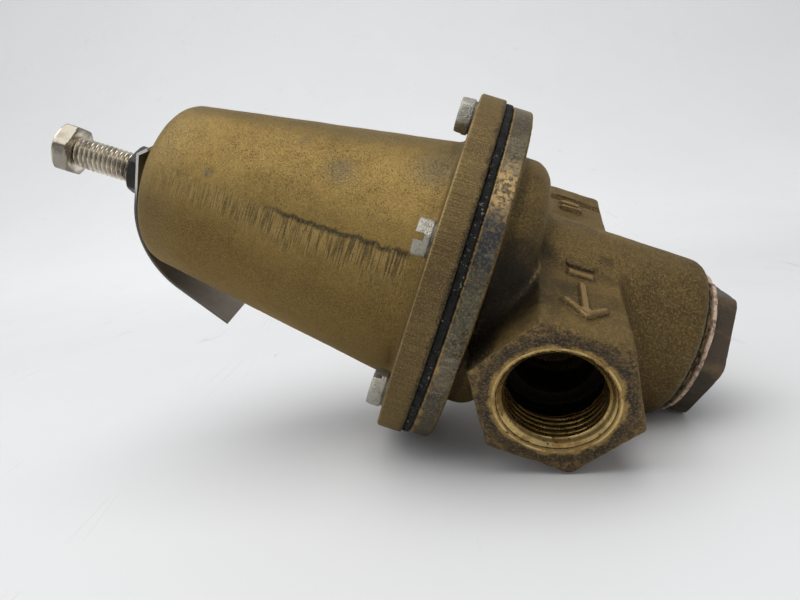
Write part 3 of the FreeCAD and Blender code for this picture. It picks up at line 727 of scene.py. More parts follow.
def new_group(name, inputs, outputs):
    """An empty shader group with named sockets, each (name, kind, default)."""
    tree = bpy.data.node_groups.new(name, "ShaderNodeTree")
    for label, kind, default in inputs:
        socket = tree.interface.new_socket(name=label, in_out="INPUT", socket_type=kind)
        if default is not None:
            socket.default_value = default
    for label, kind in outputs:
        tree.interface.new_socket(name=label, in_out="OUTPUT", socket_type=kind)
    n = Nodes(tree)
    return n, n.outputs(n.make("NodeGroupInput")), n.make("NodeGroupOutput").inputs


FLOAT, COLOUR = "NodeSocketFloat", "NodeSocketColor"


def cast_skin_group():
    """Sand-cast skin: a height, the dark pits in it and the fine grain."""
    n, given, out = new_group("Cast skin", (("Coarseness", FLOAT, 1.0), ("Pits", FLOAT, 0.5)),
                              (("Height", FLOAT), ("Pits", FLOAT), ("Grain", FLOAT)))
    spot = n.call("ShaderNodeVectorMath", {
        0: n.place(), "Scale": n.math("DIVIDE", 1.0, given["Coarseness"])}, operation="SCALE")
    grain = n.noise(spot, 2600.0, 4.0, 0.7)
    pebble = n.noise(spot, 1150.0, 3.0, 0.6)
    holes = n.noise(spot, 2700.0, 3.0, 0.6)
    where = n.noise(spot, 55.0, 3.0, 0.6)
    threshold = 0.37 + (given["Pits"] - 0.5) * 0.1
    threshold = threshold + (where - 0.5) * 0.16
    pits = n.math("MULTIPLY", threshold - holes, 14.0, clamp=True)
    fine = n.noise(spot, 3600.0, 2.0, 0.6)
    specks = n.math("MULTIPLY", threshold + 0.035 - fine, 9.0, clamp=True)
    pits = n.math("MAXIMUM", pits, specks * 0.75)
    height = grain * 0.45 + pebble * 0.55
    height = height - pits * 0.5
    n.feed(out["Height"], height)
    n.feed(out["Pits"], pits)
    n.feed(out["Grain"], grain)
    return n.tree


def tarnish_group():
    """Uneven tarnish: a colour that drifts from clean metal to brown and to near black."""
    n, given, out = new_group("Tarnish", (
        ("Clean", COLOUR, (0.3, 0.2, 0.1, 1.0)), ("Brown", COLOUR, (0.15, 0.09, 0.04, 1.0)),
        ("Dark", COLOUR, (0.03, 0.025, 0.02, 1.0)), ("Amount", FLOAT, 0.5),
        ("Dark amount", FLOAT, 0.2), ("Size", FLOAT, 60.0)),
        (("Color", COLOUR), ("Darkness", FLOAT)))
    place = n.place()
    broad = n.noise(place, given["Size"], 5.0, 0.62)
    fine = n.noise(place, 420.0, 4.0, 0.65)
    mixed = broad * 0.7 + fine * 0.3
    brown = n.span(mixed + given["Amount"], 0.78, 1.22)
    dark = n.span(mixed + given["Dark amount"], 0.8, 1.0)
    n.feed(out["Color"], n.mix(dark, n.mix(brown, given["Clean"], given["Brown"]), given["Dark"]))
    n.feed(out["Darkness"], dark)
    return n.tree


def edge_wear_group():
    """Rubbed edges: turns an edge mask into a broken, speckled one."""
    n, given, out = new_group("Edge wear", (
        ("Edge", FLOAT, 0.0), ("Amount", FLOAT, 0.5)), (("Worn", FLOAT),))
    place = n.place()
    broken = n.noise(place, 160.0, 4.0, 0.7)
    speckle = n.noise(place, 1100.0, 2.0, 0.6)
    level = broken * 0.7 + speckle * 0.3
    reach = given["Edge"] * (level + given["Amount"])
    n.feed(out["Worn"], n.span(reach, 0.45, 0.85))
    return n.tree


GROUPS = {}


def shared_group(name):
    """A shared effect, built the first time a material asks for it."""
    makers = {"skin": cast_skin_group, "tarnish": tarnish_group, "wear": edge_wear_group}
    if name not in GROUPS:
        GROUPS[name] = makers[name]()
    return GROUPS[name]


def new_material(name, metallic, roughness):
    """An empty metal or plain material: its node calls and its shader."""
    material = bpy.data.materials.new(name)
    material.use_nodes = True
    tree = material.node_tree
    shader = tree.nodes["Principled BSDF"]
    shader.inputs["Metallic"].default_value = metallic
    shader.inputs["Roughness"].default_value = roughness
    return material, Nodes(tree), shader


def set_surface(n, shader, colour, roughness):
    n.feed(shader.inputs["Base Color"], colour)
    n.feed(shader.inputs["Roughness"], roughness)


def bump(n, shader, height, distance, strength=1.0, previous=None):
    """Raises the shader's surface by a height, over what an earlier bump has done."""
    normal = n.call("ShaderNodeBump", {
        "Strength": strength, "Distance": distance, "Height": height, "Normal": previous})
    n.feed(shader.inputs["Normal"], normal)
    return normal


# ---------------------------------------------------------------- materials

def cage_bronze(settings):
    """Cast bronze of the cage: golden, pitted, with drip marks down one side."""
    material, n, shader = new_material("Cage bronze", 0.72, 0.5)
    shader.inputs["Specular Tint"].default_value = (1.0, 0.84, 0.58, 1.0)
    place = n.place()
    turn, radius, height = n.polar(place)
    skin = n.group(shared_group("skin"), Coarseness=1.0, Pits=0.85)
    base = n.group(shared_group("tarnish"), Clean=tuple(settings.gold),
                   Brown=tuple(settings.brown), Dark=(0.05, 0.038, 0.026),
                   Amount=0.42, Dark_amount=0.10, Size=38.0)
    colour = base["Color"]
    # below the drip line the skin is browner and smoother; on this down-facing side the brown is
    # also painted shade
    line = 26.3 + n.math("MAXIMUM", height - 122.0, 0.0) * 0.155
    waver = (n.noise(n.scaled(place, (60, 60, 260)), 1.0, 3.0, 0.6) - 0.5) * 4.5
    below = line + waver - turn
    lower = n.span(below, 8.0, 34.0)
    colour = n.mix(lower * 0.62, colour, tuple(settings.brown))
    # painted shade: the far top of the cage is painted darker
    far = n.span(turn + n.noise(place, 80.0, 4.0, 0.6) * 16.0, 80.0, 97.0)
    colour = n.mix(far * 0.62, colour, (0.085, 0.069, 0.038))
    scored = n.noise(n.scaled(place, (260, 260, 2600)), 1.0, 3.0, 0.7)
    colour = n.mix(n.span(scored, 0.58, 0.70, 0.0, 0.40), colour, (0.075, 0.055, 0.026))
    shoulder = n.span(height + n.noise(place, 70.0, 3.0, 0.6) * 14.0, 158.0, 178.0)
    colour = n.mix(shoulder * 0.4, colour, (0.165, 0.125, 0.07))
    # scratches that run round the cage just below the line
    across = n.join(height * 1.0, turn * 0.03, 0.0)
    streaks = n.noise(across, 2.4, 2.0, 0.6)
    wander = n.noise(n.join(height, 0.0, 0.0), 0.35, 2.0, 0.5) * 22.0
    reach = 3.0 + wander
    band = n.span(below, 0.0, 0.8) * n.span(below - reach, 5.0, -5.0)
    along = n.span(height, 89.0, 93.0) * n.span(height, 170.0, 160.0)
    band = band * along
    scratch = band * n.span(streaks, 0.49, 0.6)
    shine = band * n.span(streaks, 0.48, 0.36)
    colour = n.mix(band * 0.4, colour, (0.275, 0.185, 0.062))
    colour = n.mix(shine * 0.45, colour, (0.4, 0.28, 0.11))
    dark_end = n.span(height, 165.0, 118.0, 0.38, 0.82)
    colour = n.mix(scratch * dark_end, colour, (0.06, 0.042, 0.022))
    # the dark lip of the drip line, strongest near the flange
    lip = n.span(below, -1.6, 0.0) * n.span(below, 2.6, 0.4)
    lip = lip * (along * n.span(height, 137.0, 124.0, 0.06, 0.96))
    lip = lip * n.span(n.noise(place, 300.0, 3.0, 0.6), 0.3, 0.44)
    colour = n.mix(lip, colour, (0.030, 0.022, 0.014))
    # dark blots: stains, except the last, high on the bell beside the flange, which is painted
    # shade
    for centre, size, share in (((19.0, 27.1, 116.2), 5.2, 0.55), ((22.3, 16.5, 151.0), 1.8, 0.7),
                                ((10.5, 29.3, 129.3), 2.2, 0.4), ((-12.0, -30.0, 122.0), 8.0, 0.5),
                                ((-30.0, 12.0, 105.0), 7.0, 0.45), ((13.5, 34.0, 90.5), 8.5, 0.6)):
        colour = n.mix(n.patch(place, centre, size, 0.9, 0.6) * share, colour, (0.075, 0.07,
                                                                                0.055))
    # the turned rim of the flange
    rim = n.span(radius, 51.0, 51.7) * n.span(height, 87.5, 86.3)
    lines = n.noise(n.join(turn * 3.6, height * 0.1, 0.0), 1.0, 3.0, 0.65)
    turned = n.mix(n.span(lines, 0.35, 0.65), (0.080, 0.052, 0.020), (0.168, 0.114, 0.044))
    turned = n.mix(n.span(n.noise(place, 45.0, 4.0, 0.6), 0.42, 0.62, 0.0, 0.6), turned,
                   (0.090, 0.056, 0.026))
    # grime and painted shade: a ragged dark band along the rim's lower edge, beside the diaphragm
    grime_and_shade = n.span(height + n.noise(place, 420.0, 4.0, 0.75) * -4.2, 78.6, 77.4) * 0.9
    turned = n.mix(grime_and_shade, turned, (0.016, 0.013, 0.010))
    colour = n.mix(rim, colour, turned)
    colour = n.mix(skin["Pits"] * (0.85 - rim * 0.75), colour, (0.045, 0.032, 0.018))
    colour = n.mix(n.span(skin["Grain"], 0.42, 0.72, 0.0, 0.30), colour, (0.50, 0.38, 0.18))
    # painted shade in the corners where the bell meets the flange and the boss
    crevice = n.mask("crevice")
    colour = n.mix(crevice * 0.65, colour, (0.06, 0.042, 0.024))
    worn = n.group(shared_group("wear"), Edge=n.mask("edge"), Amount=0.45)["Worn"]
    colour = n.mix(worn * 0.7, colour, (0.42, 0.31, 0.15))
    n.feed(shader.inputs["Base Color"], colour)
    rough = n.blend(base["Darkness"], n.blend(lower, 0.50, 0.56), 0.66)
    n.feed(shader.inputs["Roughness"], rough)
    relief = skin["Height"] * (1.0 - n.math("MAXIMUM", rim, lower) * 0.55) - (scratch + lip) * 0.5
    first = bump(n, shader, relief, 0.00022, 0.9)
    bump(n, shader, lines * rim, 0.0001, 0.8, first)
    return material


def body_bronze(settings):
    """Cast bronze of the body: olive brown with painted shade in its hollows and on the barrel's
    side, brassy where rubbed.
    """
    material, n, shader = new_material("Body bronze", 0.62, 0.55)
    shader.inputs["Specular Tint"].default_value = (1.0, 0.86, 0.62, 1.0)
    place = n.place()
    turn, radius, height = n.polar(place)
    skin = n.group(shared_group("skin"), Coarseness=1.6, Pits=0.55)
    base = n.group(shared_group("tarnish"), Clean=tuple(settings.bronze),
                   Brown=(0.074, 0.049, 0.020), Dark=tuple(settings.tarnish),
                   Amount=0.46, Dark_amount=0.17, Size=62.0)
    colour = base["Color"]
    # painted shade: the hollows are painted near black
    crevice = n.mask("crevice")
    colour = n.mix(n.span(crevice, 0.10, 0.60, 0.0, 0.92), colour, (0.012, 0.010, 0.009))
    # painted shade: near-black patches under the flange and in the corners where the ports meet
    # the barrel and bowl
    corner_shade_mask = 0.0
    for centre, size, share in (((33.0, 21.0, 65.0), 13.5, 0.98), ((16.0, 22.0, 57.0), 4.6, 0.75),
                                ((37.0, 13.0, 68.0), 11.0, 0.97), ((30.0, 20.0, 50.0), 4.0, 0.45),
                                ((12.0, 22.5, 40.0), 2.6, 0.5), ((30.0, 20.0, 38.0), 3.0, 0.3)):
        corner_shade = n.patch(place, centre, size, 0.9, 0.7) * share
        colour = n.mix(corner_shade, colour, (0.013, 0.011, 0.010))
        corner_shade_mask = n.math("MAXIMUM", corner_shade, corner_shade_mask)
    # painted shade: the side of the barrel is painted darker brown than its crown
    side = turn + (n.noise(place, 60.0, 4.0, 0.65) - 0.5) * 30.0
    side = n.span(side, 58.0, 44.0) * n.span(radius, 30.0, 27.0)
    colour = n.mix(side * 0.5, colour, (0.048, 0.03, 0.014))
    # the turned foot beside the gasket: a pale line, with dirt and painted shade in the gap
    foot = n.span(height, 10.9, 10.2) * n.span(radius, 22.6, 23.2)
    colour = n.mix(foot * n.span(n.noise(place, 420.0, 3.0, 0.6), 0.36, 0.5), colour, (0.115,
                                                                                       0.125,
                                                                                       0.095))
    gap = n.span(height, 9.9, 9.5) * n.span(radius, 23.2, 22.6)
    colour = n.mix(gap, colour, (0.014, 0.012, 0.010))
    # the clamped flange: blue-grey film, brassy where the film has rubbed through
    rim = n.span(height, 71.4, 72.2) * n.span(radius, 49.2, 50.4)
    drift = n.noise(n.scaled(place, (1, 1, 0.6)), 55.0, 5.0, 0.6)
    film = n.mix(n.span(drift, 0.40, 0.60), (0.050, 0.049, 0.044), (0.125, 0.108, 0.076))
    film = n.mix(n.patch(place, (42.0, 29.0, 74.0), 11.0, 0.9, 0.8) * 0.8, film, (0.026, 0.036,
                                                                                  0.05))
    film = n.mix(n.patch(place, (49.0, 14.0, 74.0), 11.0, 0.9, 0.8) * 0.6, film, (0.075, 0.08,
                                                                                  0.055))
    smudge = n.noise(place, 170.0, 4.0, 0.7)
    film = n.mix(n.span(smudge, 0.54, 0.64, 0.0, 0.75), film, (0.034, 0.028, 0.020))
    film = n.mix(n.span(smudge, 0.42, 0.32, 0.0, 0.6), film, (0.175, 0.140, 0.085))
    brassy = n.math("MAXIMUM", n.patch(place, (32.3, 39.5, 74.0), 7.5, 0.7, 0.9, 260.0),
                    n.patch(place, (-12.0, 49.5, 74.0), 6.0, 0.8, 0.9, 260.0))
    brassy = brassy * n.span(n.noise(place, 900.0, 3.0, 0.7), 0.4, 0.56)
    film = n.mix(brassy, film, (0.46, 0.31, 0.13))
    film = n.mix(n.span(n.noise(n.scaled(place, (1, 1, 0.35)), 330.0, 4.0, 0.7), 0.56, 0.72,
                        0.0, 0.55), film, (0.200, 0.190, 0.160))
    # grime and painted shade: a ragged dark band along the flange's top edge, beside the diaphragm
    grime_and_shade = n.span(height + n.noise(place, 380.0, 4.0, 0.75) * 4.0, 77.9, 78.9, 0.0, 0.85)
    film = n.mix(grime_and_shade, film, (0.016, 0.014, 0.012))
    golden = n.span(height, 75.2, 76.2) * n.span(n.noise(place, 130.0, 4.0, 0.7), 0.46, 0.58)
    golden = golden * n.span(turn, 8.0, -4.0)
    film = n.mix(golden * 0.8, film, (0.42, 0.27, 0.08))
    colour = n.mix(rim, colour, film)
    # port faces: burnt blue-black, browner outwards, brass beside the mouth
    x, y, z = n.axes(place)
    off_axis = z - PORT_HEIGHT * MM
    from_port = n.math("SQRT", y * y + off_axis * off_axis) * (1.0 / MM)
    face = n.span(n.math("ABSOLUTE", x), 51.7 * MM, 52.2 * MM)
    ragged = from_port + (n.noise(place, 210.0, 4.0, 0.7) - 0.5) * 5.0
    burnt = n.mix(n.span(n.noise(place, 230.0, 5.0, 0.75), 0.40, 0.62), (0.028, 0.025, 0.024),
                  (0.082, 0.056, 0.032))
    outer = n.mix(n.span(n.noise(place, 480.0, 4.0, 0.7), 0.42, 0.60), (0.060, 0.042, 0.026),
                  (0.190, 0.125, 0.055))
    port = n.mix(n.span(ragged, 17.6, 19.6), burnt, outer)
    port = n.mix(n.span(ragged, 16.6, 15.2), port, (0.36, 0.24, 0.085))
    colour = n.mix(face, colour, port)
    colour = n.mix(skin["Pits"] * 0.7, colour, (0.028, 0.02, 0.012))
    glint = n.span(skin["Grain"], 0.48, 0.66, 0.0, 0.42) * (1.0 - corner_shade_mask * 0.9)
    colour = n.mix(glint, colour, (0.34, 0.23, 0.09))
    colour = n.mix(n.span(skin["Grain"], 0.48, 0.34, 0.0, 0.40), colour, (0.040, 0.027, 0.013))
    worn = n.group(shared_group("wear"), Edge=n.mask("edge"), Amount=0.38)["Worn"]
    colour = n.mix(worn * 0.75, colour, (0.34, 0.225, 0.095))
    # painted shade: the bore beyond the mouth is painted near black
    inside = n.span(from_port, 15.2, 14.6) * n.span(radius, 24.0, 26.0)
    inside = inside * (1.0 - face)
    colour = n.mix(inside, colour, (0.007, 0.006, 0.004))
    set_surface(n, shader, colour, n.blend(rim * 0.8, n.blend(base["Darkness"], 0.54, 0.68), 0.36))
    relief = skin["Height"] * (1.0 - rim * 0.7)
    bump(n, shader, relief, 0.00042, 1.0)
    return material


def cut_brass(settings):
    """Bright cut metal of the port mouths and threads, with painted shade in the thread roots and
    deeper in the bore.
    """
    material, n, shader = new_material("Cut brass", 0.95, 0.28)
    place = n.place()
    rings = n.noise(n.scaled(place, (1800, 30, 30)), 1.0, 3.0, 0.6)
    dull = n.noise(place, 150.0, 5.0, 0.7)
    root = n.mask("crevice")
    colour = n.mix(n.span(dull, 0.42, 0.62), tuple(settings.brass), (0.270, 0.170, 0.060))
    # painted shade in the thread roots
    colour = n.mix(n.span(root, 0.35, 0.9, 0.0, 0.8), colour, (0.075, 0.045, 0.018))
    # painted shade deeper in the bore
    depth = n.math("ABSOLUTE", n.axes(place)[0]) + n.noise(place, 260.0, 4.0, 0.7) * 0.005
    colour = n.mix(n.span(depth, 0.0500, 0.0440, 0.0, 0.35), colour, (0.150, 0.098, 0.040))
    colour = n.mix(n.span(n.noise(place, 520.0, 3.0, 0.7), 0.6, 0.7), colour, (0.06, 0.04, 0.02))
    set_surface(n, shader, colour, n.span(dull, 0.4, 0.65, 0.22, 0.5))
    bump(n, shader, rings + n.noise(place, 700.0, 3.0, 0.6), 6e-05, 0.7)
    return material


def plain_metal(name, colour, dark, metallic, roughness, spread, scale=260.0, depth=0.00005):
    """A metal with blotches of a darker tone and a fine tooth."""
    material, n, shader = new_material(name, metallic, roughness)
    place = n.place()
    blotch = n.noise(place, scale, 5.0, 0.68)
    fine = n.noise(place, 2600.0, 3.0, 0.6)
    shade = n.mix(n.span(blotch, 0.46, 0.66, 0.0, 0.85), colour, dark)
    worn = n.group(shared_group("wear"), Edge=n.mask("edge"), Amount=0.4)["Worn"]
    bright = tuple(min(1.0, c * 1.35 + 0.04) for c in colour)
    shade = n.mix(worn * 0.8, shade, bright)
    # painted shade in the crevices
    shade = n.mix(n.mask("crevice") * 0.75, shade, tuple((c * 0.35 for c in dark)))
    set_surface(n, shader, shade, n.span(blotch * 0.7 + fine * 0.3, 0.35, 0.7, roughness - spread,
                                         roughness + spread))
    bump(n, shader, fine + blotch * 0.6, depth, 0.8)
    return material


def brushed_sheet(settings):
    """Bright sheet with fine scratches along the strip and dull sheared edges, painted darker with
    shade further down the tag.
    """
    material, n, shader = new_material("Brushed sheet", 0.85, 0.26)
    place = n.place()
    brush = n.noise(n.scaled(place, (2400, 60, 60)), 1.0, 3.0, 0.6)
    smear = n.noise(place, 90.0, 4.0, 0.6)
    colour = n.mix(n.span(smear, 0.42, 0.66, 0.0, 0.5), tuple(settings.sheet), (0.42, 0.395, 0.36))
    facing = n.axes(n.call("ShaderNodeTexCoord", output="Normal"))[0]
    _, y, z = n.axes(place)
    # the sheared edges are dull, and painted shade makes them darker further down the tag
    sheared = n.span(n.math("ABSOLUTE", facing), 0.80, 0.95)
    sheared = sheared * n.span(y, 0.002, -0.006, 0.15, 0.95)
    colour = n.mix(sheared, colour, (0.075, 0.066, 0.054))
    n.feed(shader.inputs["Base Color"], colour)
    n.feed(shader.inputs["Metallic"], n.span(z, 0.166, 0.142, 0.95, 0.25))
    n.feed(shader.inputs["Roughness"], n.span(brush, 0.35, 0.65, 0.34, 0.46))
    bump(n, shader, brush, 0.000008, 0.4)
    return material


def plug_metal(settings):
    """Dark bronze of the plug: near-black brown with rubbed, reddish corners."""
    material, n, shader = new_material("Plug bronze", 0.55, 0.58)
    place = n.place()
    skin = n.group(shared_group("skin"), Coarseness=1.1, Pits=0.6)
    base = n.group(shared_group("tarnish"), Clean=tuple(settings.bronze),
                   Brown=(0.055, 0.046, 0.032), Dark=(0.022, 0.021, 0.018),
                   Amount=0.5, Dark_amount=0.22, Size=95.0)
    colour = base["Color"]
    streak = n.noise(n.scaled(place, (260, 260, 60)), 1.0, 4.0, 0.65)
    colour = n.mix(n.span(streak, 0.52, 0.68, 0.0, 0.7), colour, (0.150, 0.092, 0.050))
    colour = n.mix(n.span(n.noise(place, 380.0, 3.0, 0.6), 0.62, 0.72, 0.0, 0.6), colour,
                   (0.170, 0.060, 0.030))
    worn = n.group(shared_group("wear"), Edge=n.mask("edge"), Amount=0.30)["Worn"]
    colour = n.mix(worn * 0.7, colour, (0.19, 0.125, 0.065))
    colour = n.mix(skin["Pits"] * 0.7, colour, (0.014, 0.011, 0.009))
    set_surface(n, shader, colour, n.blend(base["Darkness"], 0.52, 0.7))
    bump(n, shader, skin["Height"] + streak * 0.5, 0.00024, 0.9)
    return material


def soft_matter(name, colour, fleck, scale, fleck_share, roughness=0.8, depth=0.00012):
    """Rubber or fibre: a matt colour with flecks and a grainy surface."""
    material, n, shader = new_material(name, 0.0, roughness)
    shader.inputs["Specular IOR Level"].default_value = 0.22
    place = n.place()
    grain = n.noise(place, scale, 4.0, 0.7)
    shade = n.mix(n.span(grain, 0.66 - fleck_share, 0.74 - fleck_share, 0.0, 0.9), colour, fleck)
    shade = n.mix(n.span(n.noise(place, 140.0, 5.0, 0.7), 0.46, 0.58, 0.0, 0.88), shade,
                  tuple(c * 0.22 for c in colour))
    set_surface(n, shader, shade, n.span(grain, 0.3, 0.7, roughness - 0.1, roughness + 0.1))
    bump(n, shader, grain, depth, 1.0)
    return material


def screen_mesh():
    """Woven stainless mesh of the strainer."""
    material, n, shader = new_material("Woven mesh", 0.9, 0.4)
    place = n.place()
    turn, _, height = n.polar(place)
    wires = n.math("SINE", turn * 0.9) * n.math("SINE", height * 6.0)
    set_surface(n, shader, n.mix(n.span(wires, -0.2, 0.3), (0.05, 0.048, 0.044), (0.46, 0.45,
                                                                                  0.42)),
                n.span(wires, -0.5, 0.5, 0.6, 0.35))
    bump(n, shader, wires, 0.0002, 0.8)
    return material


MATERIALS = {}


def finish(name):
    """One finish of the valve, made when it is first wanted."""
    scene = bpy.context.scene
    if name in MATERIALS:
        return MATERIALS[name]
    makers = {
        "cage": lambda: cage_bronze(scene.valve_cage),
        "body": lambda: body_bronze(scene.valve_casting),
        "cut_brass": lambda: cut_brass(scene.valve_ports),
        "plug": lambda: plug_metal(scene.valve_plug),
        "zinc": lambda: plain_metal("Zinc plate", tuple(scene.valve_screws.zinc),
                                    (0.090, 0.080, 0.062), 0.85, 0.36, 0.12, 620.0, 0.00030),
        "plated": lambda: plain_metal("Plated steel", tuple(scene.valve_adjuster.steel),
                                      (0.270, 0.235, 0.180), 0.95, 0.26, 0.08, 180.0),
        "black": lambda: plain_metal("Black oxide", tuple(scene.valve_adjuster.black),
                                     (0.026, 0.018, 0.012), 0.35, 0.48, 0.10, 300.0),
        "sheet": lambda: brushed_sheet(scene.valve_adjuster),
        "spring": lambda: plain_metal("Spring steel", (0.210, 0.205, 0.200),
                                      (0.080, 0.060, 0.045), 0.9, 0.36, 0.10, 220.0),
        "turned_brass": lambda: plain_metal("Turned brass", (0.560, 0.390, 0.150),
                                            (0.250, 0.160, 0.060), 0.95, 0.30, 0.08, 160.0),
        "rubber": lambda: soft_matter("Diaphragm rubber", (0.012, 0.012, 0.011),
                                      (0.250, 0.240, 0.205), 1000.0, 0.075, 0.80, 0.0003),
        "disc": lambda: soft_matter("Disc rubber", (0.020, 0.019, 0.018),
                                    (0.060, 0.058, 0.055), 1200.0, 0.04, 0.6),
        "fibre": lambda: soft_matter("Gasket fibre", tuple(scene.valve_plug.fibre),
                                     (0.740, 0.620, 0.490), 700.0, 0.12, 0.85, 0.0002),
        "screen": screen_mesh,
    }
    MATERIALS[name] = makers[name]()
    return MATERIALS[name]


# ---------------------------------------------------------------- pieces

class VALVE_OT_body_casting(bpy.types.Operator):
    """Body casting: barrel, diaphragm bowl, flange and two hexagonal ports"""
    bl_idname = "valve.body_casting"
    bl_label = "Body Casting"

    def execute(self, context):
        settings = context.scene.valve_casting

        def measure(points):
            return casting_distance(points, settings)

        cell = settings.cell / MM
        side = BODY_FLANGE_RADIUS + 2.0 * cell
        low = (-PORT_REACH - 2.0 * cell, -side, BARREL_LOW - 2.3 * cell)
        high = (PORT_REACH + 2.0 * cell, side, CASTING_TOP + 2.0 * cell)
        points, faces = net_surface(measure, low, high, cell)
        for _ in range(3):
            normal = slope(points, measure)
            offset = np.clip(in_chunks(points, measure), -0.5 * cell, 0.5 * cell)
            points = points - normal * offset[:, None]
        normal = slope(points, measure, 0.12)
        points[:, 0] = np.clip(points[:, 0], -PORT_REACH, PORT_REACH)
        points[:, 2] = np.minimum(points[:, 2], CASTING_TOP)
        mesh = bpy.data.meshes.new("body_casting")
        mesh.from_pydata((points * MM).tolist(), [], faces.tolist())
        mesh.validate()
        mesh.shade_smooth()
        if len(mesh.vertices) != len(points):
            raise RuntimeError("the casting's net changed while it was made")
        depth = in_chunks(points - normal * 1.4, measure)
        set_mask(mesh, "edge", (depth + 1.4) / 0.8 - 0.25)
        # painted shade: hollows, where the field is still inside a short way out from the surface
        reach = in_chunks(points + normal * 4.0, measure)
        set_mask(mesh, "crevice", (4.0 - reach) / 4.0)
        mesh.normals_split_custom_set_from_vertices(normal.tolist())
        add_piece(mesh, "body", "casing", ("valve_body",))
        return {"FINISHED"}


class VALVE_OT_port_threads(bpy.types.Operator):
    """Bevelled mouths and pipe threads of the two ports"""
    bl_idname = "valve.port_threads"
    bl_label = "Port Threads"

    def execute(self, context):
        settings = context.scene.valve_ports
        mouth, bore = settings.mouth_radius / MM, settings.bore_radius / MM
        pitch, deep = settings.thread_pitch / MM, settings.thread_depth / MM
        segments = 120
        inner = dense([(mouth, PORT_REACH - 0.02), (bore + 0.25, PORT_REACH + bore - mouth),
                       (bore, THREAD_END)], pitch / 8.0)
        outer = [(LINER_RADIUS + 0.15, THREAD_END), (LINER_RADIUS + 0.15, PORT_REACH - 0.6),
                 (mouth + 0.45, PORT_REACH - 0.4), (mouth + 0.45, PORT_REACH - 0.02)]
        points, faces = turned_grid(inner + outer, segments, closed=True)
        height = points[:, 2]
        radius = from_axis(points)
        turn = np.arctan2(points[:, 1], points[:, 0])
        phase = (height / pitch - turn / (2.0 * math.pi)) % 1.0
        ridge = np.clip(np.abs(phase - 0.5) * 2.0 * 1.35 - 0.18, 0.0, 1.0)
        threaded = (radius < mouth - 0.8) & (height < PORT_REACH - 0.9)
        groove = np.where(threaded, ridge * deep, 0.0)
        rub = 0.14 * lattice_noise(points, 1.6, 31)
        lip = (height < THREAD_END + 0.9) & (radius < LINER_RADIUS)
        points[:, 2] += np.where(lip, 1.3 * lattice_noise(points * (1, 1, 0), 2.3, 32) ** 2, 0.0)
        grown = np.where(threaded, np.maximum(radius, bore + groove + rub), radius)
        scale = grown / radius
        spread(points, scale)
        shells, roots = [], []
        for side in (1.0, -1.0):
            # stand the ring up along X at each port
            placed = np.stack([points[:, 2] * side, points[:, 1] * side,
                               PORT_HEIGHT - points[:, 0]], axis=1)
            shells.append((placed, faces))
            roots.append(groove / deep)
        mesh = join_shells("port_threads", shells)
        # painted shade in the thread roots
        if len(mesh.vertices) == sum(len(root) for root in roots):
            set_mask(mesh, "crevice", np.concatenate(roots))
        smooth_by_angle(mesh, 50.0)
        add_piece(mesh, "cut_brass", "casing")
        return {"FINISHED"}


class VALVE_OT_spring_cage(bpy.types.Operator):
    """Spring cage: clamping flange, tapering bell and threaded boss"""
    bl_idname = "valve.spring_cage"
    bl_label = "Spring Cage"

    def execute(self, context):
        settings = context.scene.valve_cage
        flange_top = CAGE_FLANGE_TOP
        outside = rounded_path([
            (33.9, CAGE_LOW, 0), (CAGE_RADIUS, CAGE_LOW, 0.5), (CAGE_RADIUS, flange_top, 0.8),
            (37.7, flange_top, 2.6), (24.6, 171.4, 7.6), (8.4, 173.3, 0.8), (8.2, CAGE_TOP, 0.4),
            (4.9, CAGE_TOP, 0)])
        inside = [(4.9, 164.0), (21.5, 163.9), (33.9, CAGE_LOW)]
        path = dense(outside, 0.9) + dense(inside, 6.0)[:-1]
        points, faces = turned_grid(path, 260, closed=True)
        radius, height = from_axis(points), points[:, 2]
        row = np.repeat(np.arange(len(path)), 260)
        cast = (row < len(dense(outside, 0.9))) & (height > flange_top + 0.2) & (radius > 8.6)
        skin = settings.roughness / MM * (0.6 * lattice_noise(points, 6.0, 21)
                                          + 0.4 * lattice_noise(points, 2.2, 22))
        shrink = np.where(cast, 1.0 - skin / np.maximum(radius, 1.0), 1.0)
        spread(points, shrink)
        mesh = new_mesh("spring_cage_cast", points, faces)
        smooth_by_angle(mesh, 40.0)
        placed = mesh_points(mesh)
        radius, height = from_axis(placed), placed[:, 2]
        rim = np.exp(-((radius - CAGE_RADIUS) / 0.5) ** 2 - ((height - flange_top) / 0.6) ** 2)
        low_rim = np.exp(-((radius - CAGE_RADIUS) / 0.5) ** 2 - ((height - CAGE_LOW) / 0.4) ** 2)
        set_mask(mesh, "edge", np.maximum(rim, low_rim * 0.6))
        # painted shade where the bell meets the flange and where it meets the boss
        foot = np.exp(-((radius - 38.6) / 2.0) ** 2 - ((height - flange_top) / 2.2) ** 2)
        neck = np.exp(-((radius - 8.6) / 2.5) ** 2 - ((height - 173.6) / 1.5) ** 2)
        set_mask(mesh, "crevice", np.maximum(foot * 0.7, neck))
        add_piece(mesh, "cage", "casing", ("spring_cage",))
        return {"FINISHED"}


WEB_INNER, WEB_OUTER = 24.2, 33.4
WEB_SECTORS = 20


def sector_mesh(name, middle, width, low, high):
    """A slab between the web's two radii and two angles, in a fine grid."""
    radii = np.linspace(WEB_INNER, WEB_OUTER, 9)
    turns = np.linspace(middle - width / 2.0, middle + width / 2.0, 5)
    points = [(r * math.cos(t), r * math.sin(t), z)
              for z in (low, high) for r in radii for t in turns]
    return new_mesh(name, points, strip_faces(len(radii), len(turns)))


